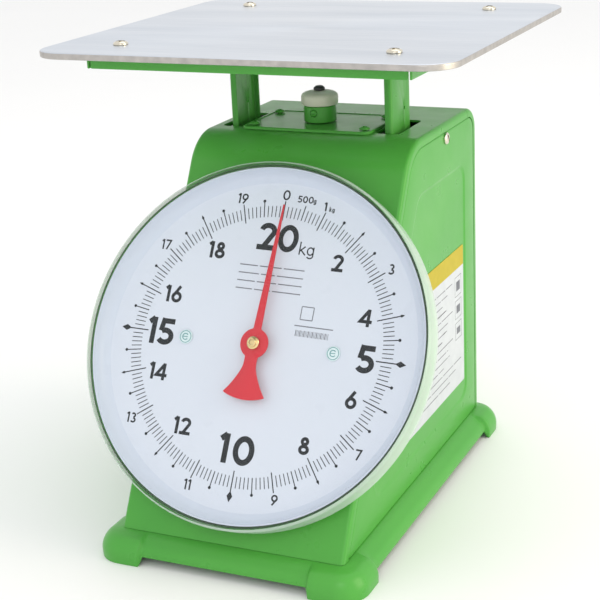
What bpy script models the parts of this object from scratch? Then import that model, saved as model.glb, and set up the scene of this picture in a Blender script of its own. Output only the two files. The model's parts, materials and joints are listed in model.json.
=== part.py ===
"""Mechanical dial platform scale, 20 kg, as an assembly of separate pieces.

Metres, +Z up, front towards -Y. The shapes are drawn about the zero adjuster's axis, and build()
then moves them so that the origin is on the ground under the middle of the object.
The tray's load frame hangs on two springs and is kept upright by two parallel links. Its rack
turns a pinion, whose shaft stands at right angles to the sloping dial and carries the pointer.
"""

import math

import bmesh
import bpy
from mathutils import Matrix, Vector

# ---- driving dimensions -------------------------------------------------------------------

SHEET = 0.0015                # thickness of the housing's sheet steel
GAP = 0.0003                  # clearance left between pieces that touch

HOUSING_X = 0.0055            # middle of the housing and dial, right of the tray's middle
HOUSING_HALF_WIDTH = 0.079
HOUSING_BOTTOM = 0.0183
HOUSING_TOP = 0.253
HOUSING_REAR = 0.120
FACE_TILT = math.radians(29.7)          # lean of the front face and the dial from upright
FACE_TOP_Y = -0.0149                    # where the front face's plane meets the top's plane
FRONT_BEND = 0.034                      # radius between the front face and the top
REAR_BEND = 0.017                       # radius between the top and the rear face
COVER_SPLIT_Y = 0.1005                  # joint between the front and top cover and the rear cover
SIDE_FLANGE = 0.006                     # depth of the covers' folded side flanges
EDGE_RADIUS = 0.003
FIELD_MARGINS = (0.028, 0.036, 0.026, 0.018)    # side field from the front, top, rear and bottom
FIELD_CORNERS = (0.012, 0.016, 0.012, 0.012)
FIELD_DEPTH = 0.0008
LABEL_FRONT, LABEL_REAR = -0.031, 0.0890
LABEL_BOTTOM, LABEL_TOP = 0.0515, 0.1565
LABEL_THICKNESS = 0.0002

BASE_FLOOR = 0.018
SKIRT_BOTTOM = 0.0056
FOOT_LENGTH = 0.020

DIAL_CENTRE = Vector((HOUSING_X, -0.0923, 0.1342))
POINTER_TURN = math.radians(-2.6)       # the unloaded pointer rests slightly clockwise of upright
COVER_RADIUS = 0.120                    # clear dial cover
CASE_RADIUS = 0.1177                    # painted dial case
DISH_RADIUS = 0.1162                    # white dial dish
FACE_BEHIND_DIAL = 0.0084               # the dial's face stands this far in front of the housing

LOAD_Y = 0.033                          # middle of the load frame
TRAY_MIDDLE = (-0.0044, 0.0374)
TRAY_WIDTH = 0.2868
TRAY_DEPTH = 0.2688
TRAY_TOP = 0.3195
TRAY_CORNER = 0.023
TRAY_SHEET = 0.0015
TRAY_SCREW_OFFSET = 0.0955
FRAME_HALF_X = 0.1112
FRAME_HALF_Y = 0.116
FRAME_BOTTOM = 0.3077
FRAME_TOP = TRAY_TOP - TRAY_SHEET - GAP

LEG_OUTER_X = 0.060
LEG_DEPTH = 0.036
LEG_FLANGE = 0.005

RACK_MODULE = 0.0005
PINION_TEETH = 12
PITCH_RADIUS = RACK_MODULE * PINION_TEETH / 2
TRAVEL = 2 * math.pi * PITCH_RADIUS / math.cos(FACE_TILT)     # platform travel at full load

LINK_PIN_Y = 0.057
LINK_SHAFT_Y = 0.104
LINK_HEIGHTS = {"upper": 0.194, "lower": 0.090}               # load pins' heights at rest
SHAFT_RADIUS = 0.003
PIN_RADIUS = 0.0025
RUNNING = 0.00006                                             # radial running clearance

SPRING_X = 0.026
SPRING_RADIUS = 0.0077
WIRE_RADIUS = 0.0013
SPRING_TURNS = 9
SPRING_TOP = 0.2045
SPRING_BOTTOM = 0.0965

COLOURS = {
    # name: (base colour, roughness, metallic, alpha)
    "green": ((0.10, 0.42, 0.09), 0.25, 0.0, 1.0),
    "stainless": ((0.62, 0.64, 0.67), 0.35, 1.0, 1.0),
    "nickel": ((0.66, 0.62, 0.52), 0.25, 1.0, 1.0),
    "brass": ((0.75, 0.58, 0.30), 0.30, 1.0, 1.0),
    "zinc": ((0.55, 0.56, 0.58), 0.40, 1.0, 1.0),
    "spring_steel": ((0.30, 0.31, 0.33), 0.30, 1.0, 1.0),
    "ivory": ((0.80, 0.79, 0.66), 0.35, 0.0, 1.0),
    "black": ((0.03, 0.03, 0.03), 0.40, 0.0, 1.0),
    "dial_white": ((0.80, 0.84, 0.90), 0.40, 0.0, 1.0),
    "red": ((0.70, 0.05, 0.07), 0.35, 0.0, 1.0),
    "clear": ((0.90, 0.96, 0.93), 0.05, 0.0, 0.35),
    "label": ((0.86, 0.86, 0.84), 0.50, 0.0, 1.0),
}


# ---- helpers ------------------------------------------------------------------------------

def clear_scene():
    for old in list(bpy.data.objects):
        bpy.data.objects.remove(old, do_unlink=True)


def make_material(name):
    colour, roughness, metallic, alpha = COLOURS[name]
    material = bpy.data.materials.get(name) or bpy.data.materials.new(name)
    material.use_nodes = True
    shader = material.node_tree.nodes["Principled BSDF"]
    shader.inputs["Base Color"].default_value = (*colour, 1.0)
    shader.inputs["Roughness"].default_value = roughness
    shader.inputs["Metallic"].default_value = metallic
    shader.inputs["Alpha"].default_value = alpha
    return material


def add_object(name, bm, colour, matrix=None, smooth=False):
    """Turns a bmesh into a named object with its own material."""
    bmesh.ops.recalc_face_normals(bm, faces=bm.faces)
    mesh = bpy.data.meshes.new(name)
    bm.to_mesh(mesh)
    bm.free()
    if smooth:
        mesh.shade_smooth()
        mesh.set_sharp_from_angle(angle=math.radians(35))
    obj = bpy.data.objects.new(name, mesh)
    obj.data.materials.append(make_material(colour))
    if matrix is not None:
        obj.matrix_world = matrix
    bpy.context.collection.objects.link(obj)
    return obj


def loft(loops):
    """Skins a list of equal-length point loops and caps the first and the last."""
    bm = bmesh.new()
    rows = [[bm.verts.new(point) for point in loop] for loop in loops]
    count = len(rows[0])
    for low, high in zip(rows, rows[1:]):
        for i in range(count):
            j = (i + 1) % count
            bm.faces.new((low[i], low[j], high[j], high[i]))
    bm.faces.new(list(reversed(rows[0])))
    bm.faces.new(rows[-1])
    return bm


def lathe(profile, sides):
    """Turns a closed (radius, height) outline about Z; points at radius 0 close on the axis."""
    bm = bmesh.new()
    columns = []
    for radius, height in profile:
        if radius == 0.0:
            columns.append([bm.verts.new((0.0, 0.0, height))] * sides)
            continue
        turn = [2 * math.pi * (k + 0.5) / sides for k in range(sides)]
        columns.append([bm.verts.new((radius * math.cos(a), radius * math.sin(a), height)) for a in turn])
    for i, column in enumerate(columns):
        after = columns[(i + 1) % len(columns)]
        for k in range(sides):
            m = (k + 1) % sides
            corners = list(dict.fromkeys((column[k], column[m], after[m], after[k])))
            if len(corners) > 2:
                bm.faces.new(corners)
    return bm


def grid_solid(xs, ys, zs, filled):
    """A closed solid of the grid cells for which filled(i, j, k) is true."""
    bm = bmesh.new()
    corners = {}
    sizes = (len(xs) - 1, len(ys) - 1, len(zs) - 1)

    def corner(i, j, k):
        if (i, j, k) not in corners:
            corners[(i, j, k)] = bm.verts.new((xs[i], ys[j], zs[k]))
        return corners[(i, j, k)]

    def solid(cell):
        inside = all(0 <= c < n for c, n in zip(cell, sizes))
        return inside and filled(*cell)

    for i in range(sizes[0]):
        for j in range(sizes[1]):
            for k in range(sizes[2]):
                if not solid((i, j, k)):
                    continue
                for axis in range(3):
                    for side in (0, 1):
                        step = [0, 0, 0]
                        step[axis] = 1 if side else -1
                        if solid((i + step[0], j + step[1], k + step[2])):
                            continue
                        base = [i, j, k]
                        base[axis] += side
                        u = [0, 0, 0]
                        v = [0, 0, 0]
                        u[(axis + 1) % 3] = 1
                        v[(axis + 2) % 3] = 1
                        places = (base, [a + b for a, b in zip(base, u)],
                                  [a + b + c for a, b, c in zip(base, u, v)],
                                  [a + c for a, c in zip(base, v)])
                        bm.faces.new([corner(*place) for place in places])
    return bm


def rounded_outline(corners, radii, segments=5):
    """Points round a convex polygon whose corners are rounded; every corner gives segments + 1."""
    points = []
    count = len(corners)
    for i, corner in enumerate(corners):
        here = Vector(corner)
        before = (Vector(corners[i - 1]) - here).normalized()
        after = (Vector(corners[(i + 1) % count]) - here).normalized()
        half = before.angle(after) / 2
        reach = radii[i] / math.tan(half)
        centre = here + (before + after).normalized() * (radii[i] / math.sin(half))
        start = here + before * reach - centre
        end = here + after * reach - centre
        sweep = start.angle_signed(end)
        for k in range(segments + 1):
            turned = start.copy()
            turned.rotate(Matrix.Rotation(-sweep * k / segments, 2))
            points.append(centre + turned)
    return points


def inset_corners(corners, distances):
    """Moves each edge of a convex polygon inwards; distances[i] is for the edge from corner i."""
    count = len(corners)
    middle = sum((Vector(c) for c in corners), Vector((0, 0))) / count
    lines = []
    for i in range(count):
        a = Vector(corners[i])
        b = Vector(corners[(i + 1) % count])
        along = (b - a).normalized()
        inward = Vector((-along.y, along.x))
        if inward.dot(middle - a) < 0:
            inward = -inward
        lines.append((a + inward * distances[i], along))
    result = []
    for i in range(count):
        p, u = lines[i - 1]
        q, v = lines[i]
        t = ((q - p).x * v.y - (q - p).y * v.x) / (u.x * v.y - u.y * v.x)
        result.append(p + u * t)
    return result


def cut(target, cutters, operation="DIFFERENCE"):
    """Adds one exact Boolean modifier per cutter and hides the cutters."""
    for cutter in cutters:
        cutter.hide_render = True
        cutter.display_type = "WIRE"
        modifier = target.modifiers.new("shape", "BOOLEAN")
        modifier.operation = operation
        modifier.solver = "EXACT"
        modifier.object = cutter


def rod_cutter(name, radius, length, matrix, sides=12):
    """A cylinder about the matrix's Z axis, centred on its origin, with flats at the radius."""
    outer = radius / math.cos(math.pi / sides)
    profile = [(0.0, -length / 2), (outer, -length / 2), (outer, length / 2), (0.0, length / 2)]
    return add_object("cutter_" + name, lathe(profile, sides), "black", matrix)


def place(x, y, z):
    return Matrix.Translation((x, y, z))


ALONG_X = Matrix.Rotation(math.pi / 2, 4, "Y")
FACING_FRONT = Matrix.Rotation(math.pi / 2, 4, "X")
DIAL_FRAME = Matrix.Translation(DIAL_CENTRE) @ Matrix.Rotation(math.pi / 2 - FACE_TILT, 4, "X")


def screw(name, place_matrix, head_radius, head_height, shank_radius, length, colour, domed=True):
    """A screw whose head stands on Z = 0 and whose shank runs down -Z."""
    shoulder = head_height * (0.45 if domed else 0.9)
    crown = head_radius * (0.62 if domed else 0.92)
    profile = [
        (0.0, -length), (shank_radius, -length), (shank_radius, 0.0), (head_radius, 0.0),
        (head_radius, shoulder), (crown, head_height), (0.0, head_height),
    ]
    return add_object(name, lathe(profile, 12), colour, place_matrix, smooth=True)


# ---- base ---------------------------------------------------------------------------------

def make_base():
    """Pressed base: floor, cove, skirt, and a hollow foot bulging from each corner."""
    half_x = HOUSING_HALF_WIDTH
    front = face_y(BASE_FLOOR)
    rear = HOUSING_REAR
    centre_y = (front + rear) / 2
    half_y = (rear - front) / 2
    skirt = [(0.0, BASE_FLOOR), (0.0030, 0.0164), (0.0062, 0.0142), (0.0092, 0.0118),
             (0.0114, 0.0086), (0.0120, SKIRT_BOTTOM)]
    foot = [(0.0, BASE_FLOOR), (0.0042, 0.0172), (0.0090, 0.0158), (0.0128, 0.0122),
            (0.0152, 0.0068), (0.0150, 0.0)]
    wall = 0.0015
    outer_rows = [[] for _ in skirt]
    inner_rows = [[] for _ in skirt]
    for x, y, nx, ny, weight in base_stations(half_x, half_y):
        profile = [((1 - weight) * a[0] + weight * b[0], (1 - weight) * a[1] + weight * b[1])
                   for a, b in zip(skirt, foot)]
        for row, (reach, height) in enumerate(profile):
            outer_rows[row].append((x + nx * reach, centre_y + y + ny * reach, height))
            slope = min(row / 3, 1.0)
            inner_reach = reach - wall * slope - 0.0006 * (1 - slope)
            inner_height = height - wall * (1 - slope) if row < len(profile) - 1 else height
            inner_rows[row].append((x + nx * inner_reach, centre_y + y + ny * inner_reach, inner_height))
    loops = outer_rows + list(reversed(inner_rows))
    base = add_object("base", loft(loops), "green", place(HOUSING_X, 0, 0), smooth=True)
    holes = [rod_cutter(f"base_{i}", 0.0020, 0.008, place(x, y, BASE_FLOOR))
             for i, (x, y) in enumerate(BASE_SCREWS)]
    cut(base, holes)


def base_stations(half_x, half_y):
    """Stations round the housing's foot line: place, outward direction, and foot weight."""
    radius = 0.004
    stations = []
    step = 0.0015
    for sx, sy in ((1, 1), (1, -1), (-1, -1), (-1, 1)):
        corner = ((0.0, FOOT_LENGTH + step), (1.0, FOOT_LENGTH - step), (1.0, 0.018))
        first = [(half_x - b, half_y, 0, 1, w) for w, b in corner]
        second = [(half_x, half_y - b, 1, 0, w) for w, b in reversed(corner)]
        arc = []
        for k in range(7):
            a = math.pi / 2 * (1 - k / 6)
            arc.append((half_x - radius + radius * math.cos(a), half_y - radius + radius * math.sin(a),
                        math.cos(a), math.sin(a), 1.0))
        placed = [(sx * x, sy * y, sx * nx, sy * ny, w) for x, y, nx, ny, w in first + arc + second]
        if sx != sy:
            placed.reverse()
        stations += placed
    return stations


# ---- housing ------------------------------------------------------------------------------

def face_y(height):
    """Y of the front face's plane at a height."""
    return FACE_TOP_Y - (HOUSING_TOP - height) * math.tan(FACE_TILT)


def channel_section():
    """Half-open section of a bent cover: (x, depth behind the outer skin) round its outline."""
    half = HOUSING_HALF_WIDTH
    corner = []
    for k in range(4):
        a = math.pi / 2 * k / 3
        corner.append((half - EDGE_RADIUS * (1 - math.cos(a)), EDGE_RADIUS * (1 - math.sin(a))))
    inner = []
    tight = EDGE_RADIUS - SHEET
    for k in range(4):
        a = math.pi / 2 * (3 - k) / 3
        inner.append((half - EDGE_RADIUS + tight * math.cos(a), EDGE_RADIUS - tight * math.sin(a)))
    right = [(half, SIDE_FLANGE)] + corner
    right_inner = inner + [(half - SHEET, SIDE_FLANGE)]
    left = [(-x, d) for x, d in reversed(right)]
    left_inner = [(-x, d) for x, d in reversed(right_inner)]
    return right + left + left_inner + right_inner


def sweep_cover(name, stations):
    """Bends the channel section along (y, z, normal y, normal z) stations."""
    loops = []
    for y, z, ny, nz in stations:
        loops.append([(HOUSING_X + x, y - ny * depth, z - nz * depth) for x, depth in channel_section()])
    return add_object(name, loft(loops), "green", smooth=True)


def make_front_top_cover():
    tilt = FACE_TILT
    reach = FRONT_BEND * math.tan((math.pi / 2 - tilt) / 2)
    top_start = FACE_TOP_Y + reach
    centre = (top_start, HOUSING_TOP - FRONT_BEND)
    normal = (-math.cos(tilt), math.sin(tilt))
    stations = [(face_y(HOUSING_BOTTOM), HOUSING_BOTTOM, *normal)]
    steps = 9
    for k in range(steps + 1):
        a = tilt + (math.pi / 2 - tilt) * k / steps
        ny, nz = -math.cos(a), math.sin(a)
        stations.append((centre[0] + FRONT_BEND * ny, centre[1] + FRONT_BEND * nz, ny, nz))
    stations.append((COVER_SPLIT_Y, HOUSING_TOP, 0.0, 1.0))
    cover = sweep_cover("front_top_cover", stations)
    trim = grid_solid((-0.1, 0.1), (-0.2, 0.0), (HOUSING_BOTTOM - 0.01, HOUSING_BOTTOM), lambda *c: True)
    cutters = [add_object("cutter_cover_bottom", trim, "black")]
    for side in (-1, 1):
        slot = grid_solid((side * 0.0575 - 0.0085, side * 0.0575 + 0.0085), (0.0115, 0.0585),
                          (0.240, 0.260), lambda *c: True)
        cutters.append(add_object(f"cutter_slot_{side}", slot, "black"))
    cutters.append(rod_cutter("lead_screw_hole", 0.0085, 0.02, place(0, LOAD_Y, HOUSING_TOP)))
    cutters.append(rod_cutter("spindle_hole", 0.006, 0.02, DIAL_FRAME @ place(0, 0, -0.009)))
    for i, (x, y) in enumerate(PLATE_SCREWS):
        cutters.append(rod_cutter(f"plate_{i}", 0.0019, 0.02, place(x, y, HOUSING_TOP)))
    for x, up in BRACKET_SCREWS:
        cutters.append(rod_cutter(f"bracket_{up}", 0.0019, 0.01, DIAL_FRAME @ place(x, up, -0.009)))
    for x in (-DIAL_SCREW_X, DIAL_SCREW_X):
        cutters.append(rod_cutter(f"dial_{x}", 0.0019, 0.01, DIAL_FRAME @ place(x, 0, -0.009)))
    cut(cover, cutters)


def make_rear_cover():
    centre = (HOUSING_REAR - REAR_BEND, HOUSING_TOP - REAR_BEND)
    stations = [(COVER_SPLIT_Y + GAP, HOUSING_TOP, 0.0, 1.0)]
    steps = 7
    for k in range(steps + 1):
        a = math.pi / 2 * (1 - k / steps)
        ny, nz = math.cos(a), math.sin(a)
        stations.append((centre[0] + REAR_BEND * ny, centre[1] + REAR_BEND * nz, ny, nz))
    stations.append((HOUSING_REAR, HOUSING_BOTTOM, 1.0, 0.0))
    sweep_cover("rear_cover", stations)


def side_profile(inset, bottom_inset, field=False):
    """Outline of the housing's side or of its field, (y, z), inset from its edges."""
    corners = [(face_y(HOUSING_BOTTOM), HOUSING_BOTTOM), (FACE_TOP_Y, HOUSING_TOP),
               (HOUSING_REAR, HOUSING_TOP), (HOUSING_REAR, HOUSING_BOTTOM)]
    if field:
        corners = inset_corners(corners, [margin + inset for margin in FIELD_MARGINS])
        return rounded_outline(corners, FIELD_CORNERS)
    corners = inset_corners(corners, (inset, inset, inset, bottom_inset))
    return rounded_outline(corners, [0.002, FRONT_BEND - inset, REAR_BEND - inset, 0.002])


def make_side_panel(name, side):
    """Pressed side lid with a turned rim and a shallow recessed field."""
    edge = SIDE_FLANGE + GAP
    half = HOUSING_HALF_WIDTH
    rim = 0.008
    wall = 0.0012
    recess = FIELD_DEPTH
    levels = [
        (side_profile(edge, 0.0), half - rim),
        (side_profile(edge, 0.0), half - 0.0012),
        (side_profile(edge + 0.0012, 0.0012), half),
        (side_profile(0.0, 0.0, field=True), half),
        (side_profile(0.003, 0.0, field=True), half - recess),
        (side_profile(0.003, 0.0, field=True), half - recess - wall),
        (side_profile(0.0, 0.0, field=True), half - wall),
        (side_profile(edge + 0.0024, 0.0024), half - wall),
        (side_profile(edge + wall, wall), half - 0.0024),
        (side_profile(edge + wall, wall), half - rim),
    ]
    outer = levels[:5]
    inner = levels[5:]
    bm = bmesh.new()
    rows = []
    for outline, x in outer + inner:
        rows.append([bm.verts.new((HOUSING_X + side * x, p.x, p.y)) for p in outline])
    count = len(rows[0])
    for low, high in list(zip(rows[:5], rows[1:5])) + list(zip(rows[5:], rows[6:])) + [(rows[9], rows[0])]:
        for i in range(count):
            j = (i + 1) % count
            bm.faces.new((low[i], low[j], high[j], high[i]))
    bm.faces.new(rows[4])
    bm.faces.new(rows[5])
    panel = add_object(name, bm, "green", smooth=True)
    x, y, z = HOUSING_X + side * half, SIDE_SCREW_Y, SIDE_SCREW_Z
    cut(panel, [rod_cutter(f"side_{side}", 0.0022, 0.01, place(x, y, z) @ ALONG_X)])
    screw_turn = ALONG_X if side > 0 else Matrix.Rotation(-math.pi / 2, 4, "Y")
    screw(f"{'right' if side > 0 else 'left'}_side_screw", place(x + side * 0.0002, y, z) @ screw_turn,
          0.0042, 0.0022, 0.0019, 0.009, "nickel")


def make_side_label():
    """Thin self-adhesive plate on the right side panel's recessed field."""
    film_gap = 0.0001
    x = HOUSING_X + HOUSING_HALF_WIDTH - FIELD_DEPTH + film_gap
    corners = [(LABEL_FRONT, LABEL_BOTTOM), (LABEL_FRONT, LABEL_TOP),
               (LABEL_REAR, LABEL_TOP), (LABEL_REAR, LABEL_BOTTOM)]
    outline = rounded_outline(corners, [0.0015] * 4, 2)
    loops = [[(x + depth, p.x, p.y) for p in outline] for depth in (0.0, LABEL_THICKNESS)]
    add_object("side_label", loft(loops), "label")


# ---- chassis inside the housing -------------------------------------------------------------

def make_uprights():
    """Side frames: a web with windows for the load bars, a top flange and a foot flange."""
    for side, name in ((-1, "left_upright"), (1, "right_upright")):
        xs = [side * x for x in (0.034, 0.0462, 0.0482, 0.058)]
        ys = (0.008, 0.025, 0.041, 0.0415, 0.0505, 0.058, 0.112)
        zs = (HOUSING_BOTTOM, 0.0203, 0.058, 0.100, 0.162, 0.203, 0.2485, 0.2505)

        def filled(i, j, k):
            if i == 1:
                lower_window = j == 1 and k == 2
                upper_window = j == 3 and k == 4
                rear_top_corner = j == 5 and k >= 5
                return not (lower_window or upper_window or rear_top_corner)
            if i == 0:
                return k == 6 and j < 5
            return k == 0

        upright = add_object(name, grid_solid(xs, ys, zs, filled), "zinc")
        cutters = []
        for link, height in LINK_HEIGHTS.items():
            shaft = place(side * 0.0472, LINK_SHAFT_Y, shaft_height(link)) @ ALONG_X
            cutters.append(rod_cutter(f"{name}_{link}", SHAFT_RADIUS + GAP, 0.01, shaft))
        for i, (x, y) in enumerate(PLATE_SCREWS):
            if x * side > 0:
                cutters.append(rod_cutter(f"{name}_plate_{i}", 0.0019, 0.01, place(x, y, 0.2495)))
        for i, (x, y) in enumerate(BASE_SCREWS):
            if x * side > 0:
                cutters.append(rod_cutter(f"{name}_base_{i}", 0.0019, 0.01, place(x, y, 0.0193)))
        cut(upright, cutters)


def shaft_height(link):
    """The chassis shafts stand half the travel below the load pins at rest."""
    return LINK_HEIGHTS[link] - TRAVEL / 2


def make_link_shafts():
    for link in LINK_HEIGHTS:
        length = 0.104
        profile = [(0.0, -length / 2), (SHAFT_RADIUS, -length / 2), (SHAFT_RADIUS, length / 2),
                   (0.0, length / 2)]
        matrix = place(0, LINK_SHAFT_Y, shaft_height(link)) @ ALONG_X
        add_object(f"{link}_link_shaft", lathe(profile, 16), "zinc", matrix, smooth=True)


def make_link(link):
    """Parallel link: two arms and a cross plate, on its shaft at the rear, slotted at the front."""
    height = LINK_HEIGHTS[link]
    pivot = Vector((0, LINK_SHAFT_Y, shaft_height(link)))
    rise = height - pivot.z
    run = LINK_SHAFT_Y - LINK_PIN_Y
    slope = math.atan2(rise, run)
    arm_length = math.hypot(rise, run)
    xs = (-0.034, -0.031, 0.031, 0.034)
    ys = (-arm_length - 0.005, -0.030, -0.014, 0.007)
    zs = (-0.006, -0.0015, 0.0015, 0.006)

    def filled(i, j, k):
        return i != 1 or (j == 1 and k == 1)

    matrix = Matrix.Translation(pivot) @ Matrix.Rotation(-slope, 4, "X")
    arms = add_object(f"{link}_link", grid_solid(xs, ys, zs, filled), "zinc", matrix)
    hole = rod_cutter(f"{link}_link_hole", SHAFT_RADIUS + RUNNING, 0.08, matrix @ ALONG_X, 16)
    slot_middle = (arm_length + run) / 2
    slack = (arm_length - run) / 2 + 0.0002
    slot_radius = PIN_RADIUS + 0.0002
    outline = []
    for centre, start in ((-slot_middle - slack, math.pi / 2), (-slot_middle + slack, -math.pi / 2)):
        for k in range(9):
            a = start + math.pi * k / 8
            outline.append((centre + slot_radius * math.cos(a), slot_radius * math.sin(a)))
    loops = [[(x, y, z) for y, z in outline] for x in (-0.04, 0.04)]
    slot = add_object(f"cutter_{link}_slot", loft(loops), "black", matrix)
    cut(arms, [hole, slot])


def make_top_plate():
    """Raised plate that carries the zero adjuster, between the leg slots."""
    corners = [(-0.0475, LOAD_Y - 0.0295), (0.0475, LOAD_Y - 0.0295), (0.0475, LOAD_Y + 0.0305),
               (-0.0475, LOAD_Y + 0.0305)]
    low = rounded_outline(corners, [0.006] * 4, 4)
    high = rounded_outline(inset_corners(corners, [0.0008] * 4), [0.0052] * 4, 4)
    bottom = HOUSING_TOP + GAP
    loops = [[(p.x, p.y, bottom) for p in low], [(p.x, p.y, bottom + 0.0010) for p in low],
             [(p.x, p.y, bottom + 0.0018) for p in high]]
    plate = add_object("top_plate", loft(loops), "green")
    cutters = [rod_cutter("plate_bore", 0.0045, 0.02, place(0, LOAD_Y, HOUSING_TOP))]
    for i, (x, y) in enumerate(PLATE_SCREWS):
        cutters.append(rod_cutter(f"top_plate_{i}", 0.0019, 0.01, place(x, y, HOUSING_TOP)))
        screw(f"top_plate_screw_{i + 1}", place(x, y, PLATE_TOP + 0.0002), 0.0037, 0.0019, 0.0016,
              0.008, "green")
    cut(plate, cutters)


# ---- zero adjuster ----------------------------------------------------------------------------

def make_zero_adjuster():
    """Collar on the plate, knob that turns on it, lead screw below, and the hanger it lifts."""
    collar_top = 0.267
    collar_low = PLATE_TOP + GAP
    profile = [(0.0036, collar_low), (0.0109, collar_low), (0.0113, collar_low + 0.0006),
               (0.0113, collar_top - 0.0008), (0.0105, collar_top), (0.0036, collar_top)]
    collar = add_object("zero_collar", lathe(profile, 24), "green", place(0, LOAD_Y, 0), smooth=True)
    set_place = place(0, LOAD_Y - 0.0107, 0.2622) @ FACING_FRONT
    cut(collar, [rod_cutter("set_screw", 0.0027, 0.006, set_place)])
    profile = [(0.0, -0.0020), (0.0024, -0.0020), (0.0024, 0.0010), (0.0018, 0.0016), (0.0, 0.0016)]
    add_object("zero_set_screw", lathe(profile, 12), "green", set_place, smooth=True)

    knob_low = collar_top + GAP
    knob = [(0.0034, knob_low), (0.0128, knob_low), (0.0138, knob_low + 0.0012), (0.0138, 0.2748),
            (0.0130, 0.2764), (0.0105, 0.2778), (0.0060, 0.2786), (0.0034, 0.2788)]
    add_object("zero_knob", lathe(knob, 28), "ivory", place(0, LOAD_Y, 0), smooth=True)
    profile = [(0.0, 0.2762), (0.0030, 0.2762), (0.0030, 0.2790), (0.0042, 0.2790), (0.0042, 0.2805),
               (0.0030, 0.2818), (0.0, 0.2820)]
    add_object("zero_knob_screw", lathe(profile, 12), "black", place(0, LOAD_Y, 0), smooth=True)
    profile = [(0.0, 0.1960), (SHAFT_RADIUS, 0.1960), (SHAFT_RADIUS, 0.2760), (0.0, 0.2760)]
    add_object("zero_lead_screw", lathe(profile, 16), "zinc", place(0, LOAD_Y, 0), smooth=True)

    xs = (-0.036, 0.036)
    ys = (LOAD_Y - 0.007, LOAD_Y + 0.007)
    hanger_mesh = grid_solid(xs, ys, (SPRING_TOP + GAP, 0.2130), lambda *c: True)
    hanger = add_object("spring_hanger", hanger_mesh, "zinc")
    cut(hanger, [rod_cutter("hanger_bore", SHAFT_RADIUS + RUNNING, 0.03, place(0, LOAD_Y, 0.209), 16)])


def make_spring(name, x):
    """Extension spring: a wire swept along a helix, closed at both ends."""
    per_turn = 8
    sides = 4
    low = SPRING_BOTTOM + WIRE_RADIUS
    high = SPRING_TOP - WIRE_RADIUS
    loops = []
    steps = SPRING_TURNS * per_turn
    rise = (high - low) / (2 * math.pi * SPRING_TURNS)
    for k in range(steps + 1):
        a = 2 * math.pi * k / per_turn
        outward = Vector((math.cos(a), math.sin(a), 0))
        along = Vector((-math.sin(a) * SPRING_RADIUS, math.cos(a) * SPRING_RADIUS, rise)).normalized()
        up = along.cross(outward)
        middle = outward * SPRING_RADIUS + Vector((x, LOAD_Y, low + (high - low) * k / steps))
        ring = []
        for s in range(sides):
            b = 2 * math.pi * s / sides
            ring.append(middle + WIRE_RADIUS * (math.cos(b) * outward + math.sin(b) * up))
        loops.append(ring)
    add_object(name, loft(loops), "spring_steel", smooth=True)


# ---- load frame -------------------------------------------------------------------------------

def make_legs():
    """Two channels that carry the tray frame through the slots in the top."""
    front = LOAD_Y - LEG_DEPTH / 2
    rear = LOAD_Y + LEG_DEPTH / 2
    for side, name in ((-1, "left_leg"), (1, "right_leg")):
        inner = LEG_OUTER_X - LEG_FLANGE
        xs = [side * x for x in (inner, LEG_OUTER_X - SHEET, LEG_OUTER_X)]
        ys = (front, front + SHEET, rear - SHEET, rear)
        zs = (0.082, FRAME_BOTTOM - GAP)
        mesh = grid_solid(xs, ys, zs, lambda i, j, k: i == 1 or j != 1)
        leg = add_object(name, mesh, "green")
        cut(leg, [rod_cutter(f"{name}_{z}", 0.0013, 0.01, place(side * LEG_OUTER_X, y, z) @ ALONG_X, 8)
                  for y, z in LEG_HOLES])


def make_load_bars():
    """Cross bars between the legs, with lugs that hold the links' pins."""
    reach = LEG_OUTER_X - SHEET - GAP
    for link, y_front, y_rear, lug_x in (("upper", 0.0430, 0.0490, 0.026), ("lower", 0.028, 0.038, 0.026)):
        height = LINK_HEIGHTS[link]
        xs = (-reach, -lug_x - 0.002, -lug_x + 0.002, lug_x - 0.002, lug_x + 0.002, reach)
        ys = (y_front, y_rear, LINK_PIN_Y + 0.005)
        zs = (height - 0.006, height + 0.006)
        mesh = grid_solid(xs, ys, zs, lambda i, j, k: j == 0 or i in (1, 3))
        bar = add_object(f"{link}_load_bar", mesh, "zinc")
        pin_place = place(0, LINK_PIN_Y, height) @ ALONG_X
        cut(bar, [rod_cutter(f"{link}_bar_pin", PIN_RADIUS + GAP, 0.08, pin_place)])
        length = 0.078
        profile = [(0.0, -length / 2), (PIN_RADIUS, -length / 2), (PIN_RADIUS, length / 2), (0.0, length / 2)]
        add_object(f"{link}_load_pin", lathe(profile, 16), "zinc", pin_place, smooth=True)


def make_tray_frame():
    """Folded frame under the tray: a top web with windows and an outer flange turned down."""
    x = FRAME_HALF_X
    y = FRAME_HALF_Y
    web = 0.0016
    xs = (-x, -x + SHEET, -0.0865, -0.066, -0.050, 0.050, 0.066, 0.0865, x - SHEET, x)
    ys = (LOAD_Y - y, LOAD_Y - y + SHEET, LOAD_Y - 0.086, LOAD_Y + 0.086, LOAD_Y + y - SHEET, LOAD_Y + y)
    zs = (FRAME_BOTTOM, FRAME_TOP - web, FRAME_TOP)

    def filled(i, j, k):
        flange = i in (0, 8) or j in (0, 4)
        rail = i in (3, 5)
        window = j == 2 and i in (2, 4, 6)
        if k == 1:
            return not window
        return flange or (rail and j in (1, 2, 3))

    frame = add_object("tray_frame", grid_solid(xs, ys, zs, filled), "green")
    cutters = []
    for i, (sx, sy) in enumerate(TRAY_SCREWS):
        cutters.append(rod_cutter(f"frame_{i}", 0.0022, 0.01, place(sx, sy, FRAME_TOP)))
    cut(frame, cutters)


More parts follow.
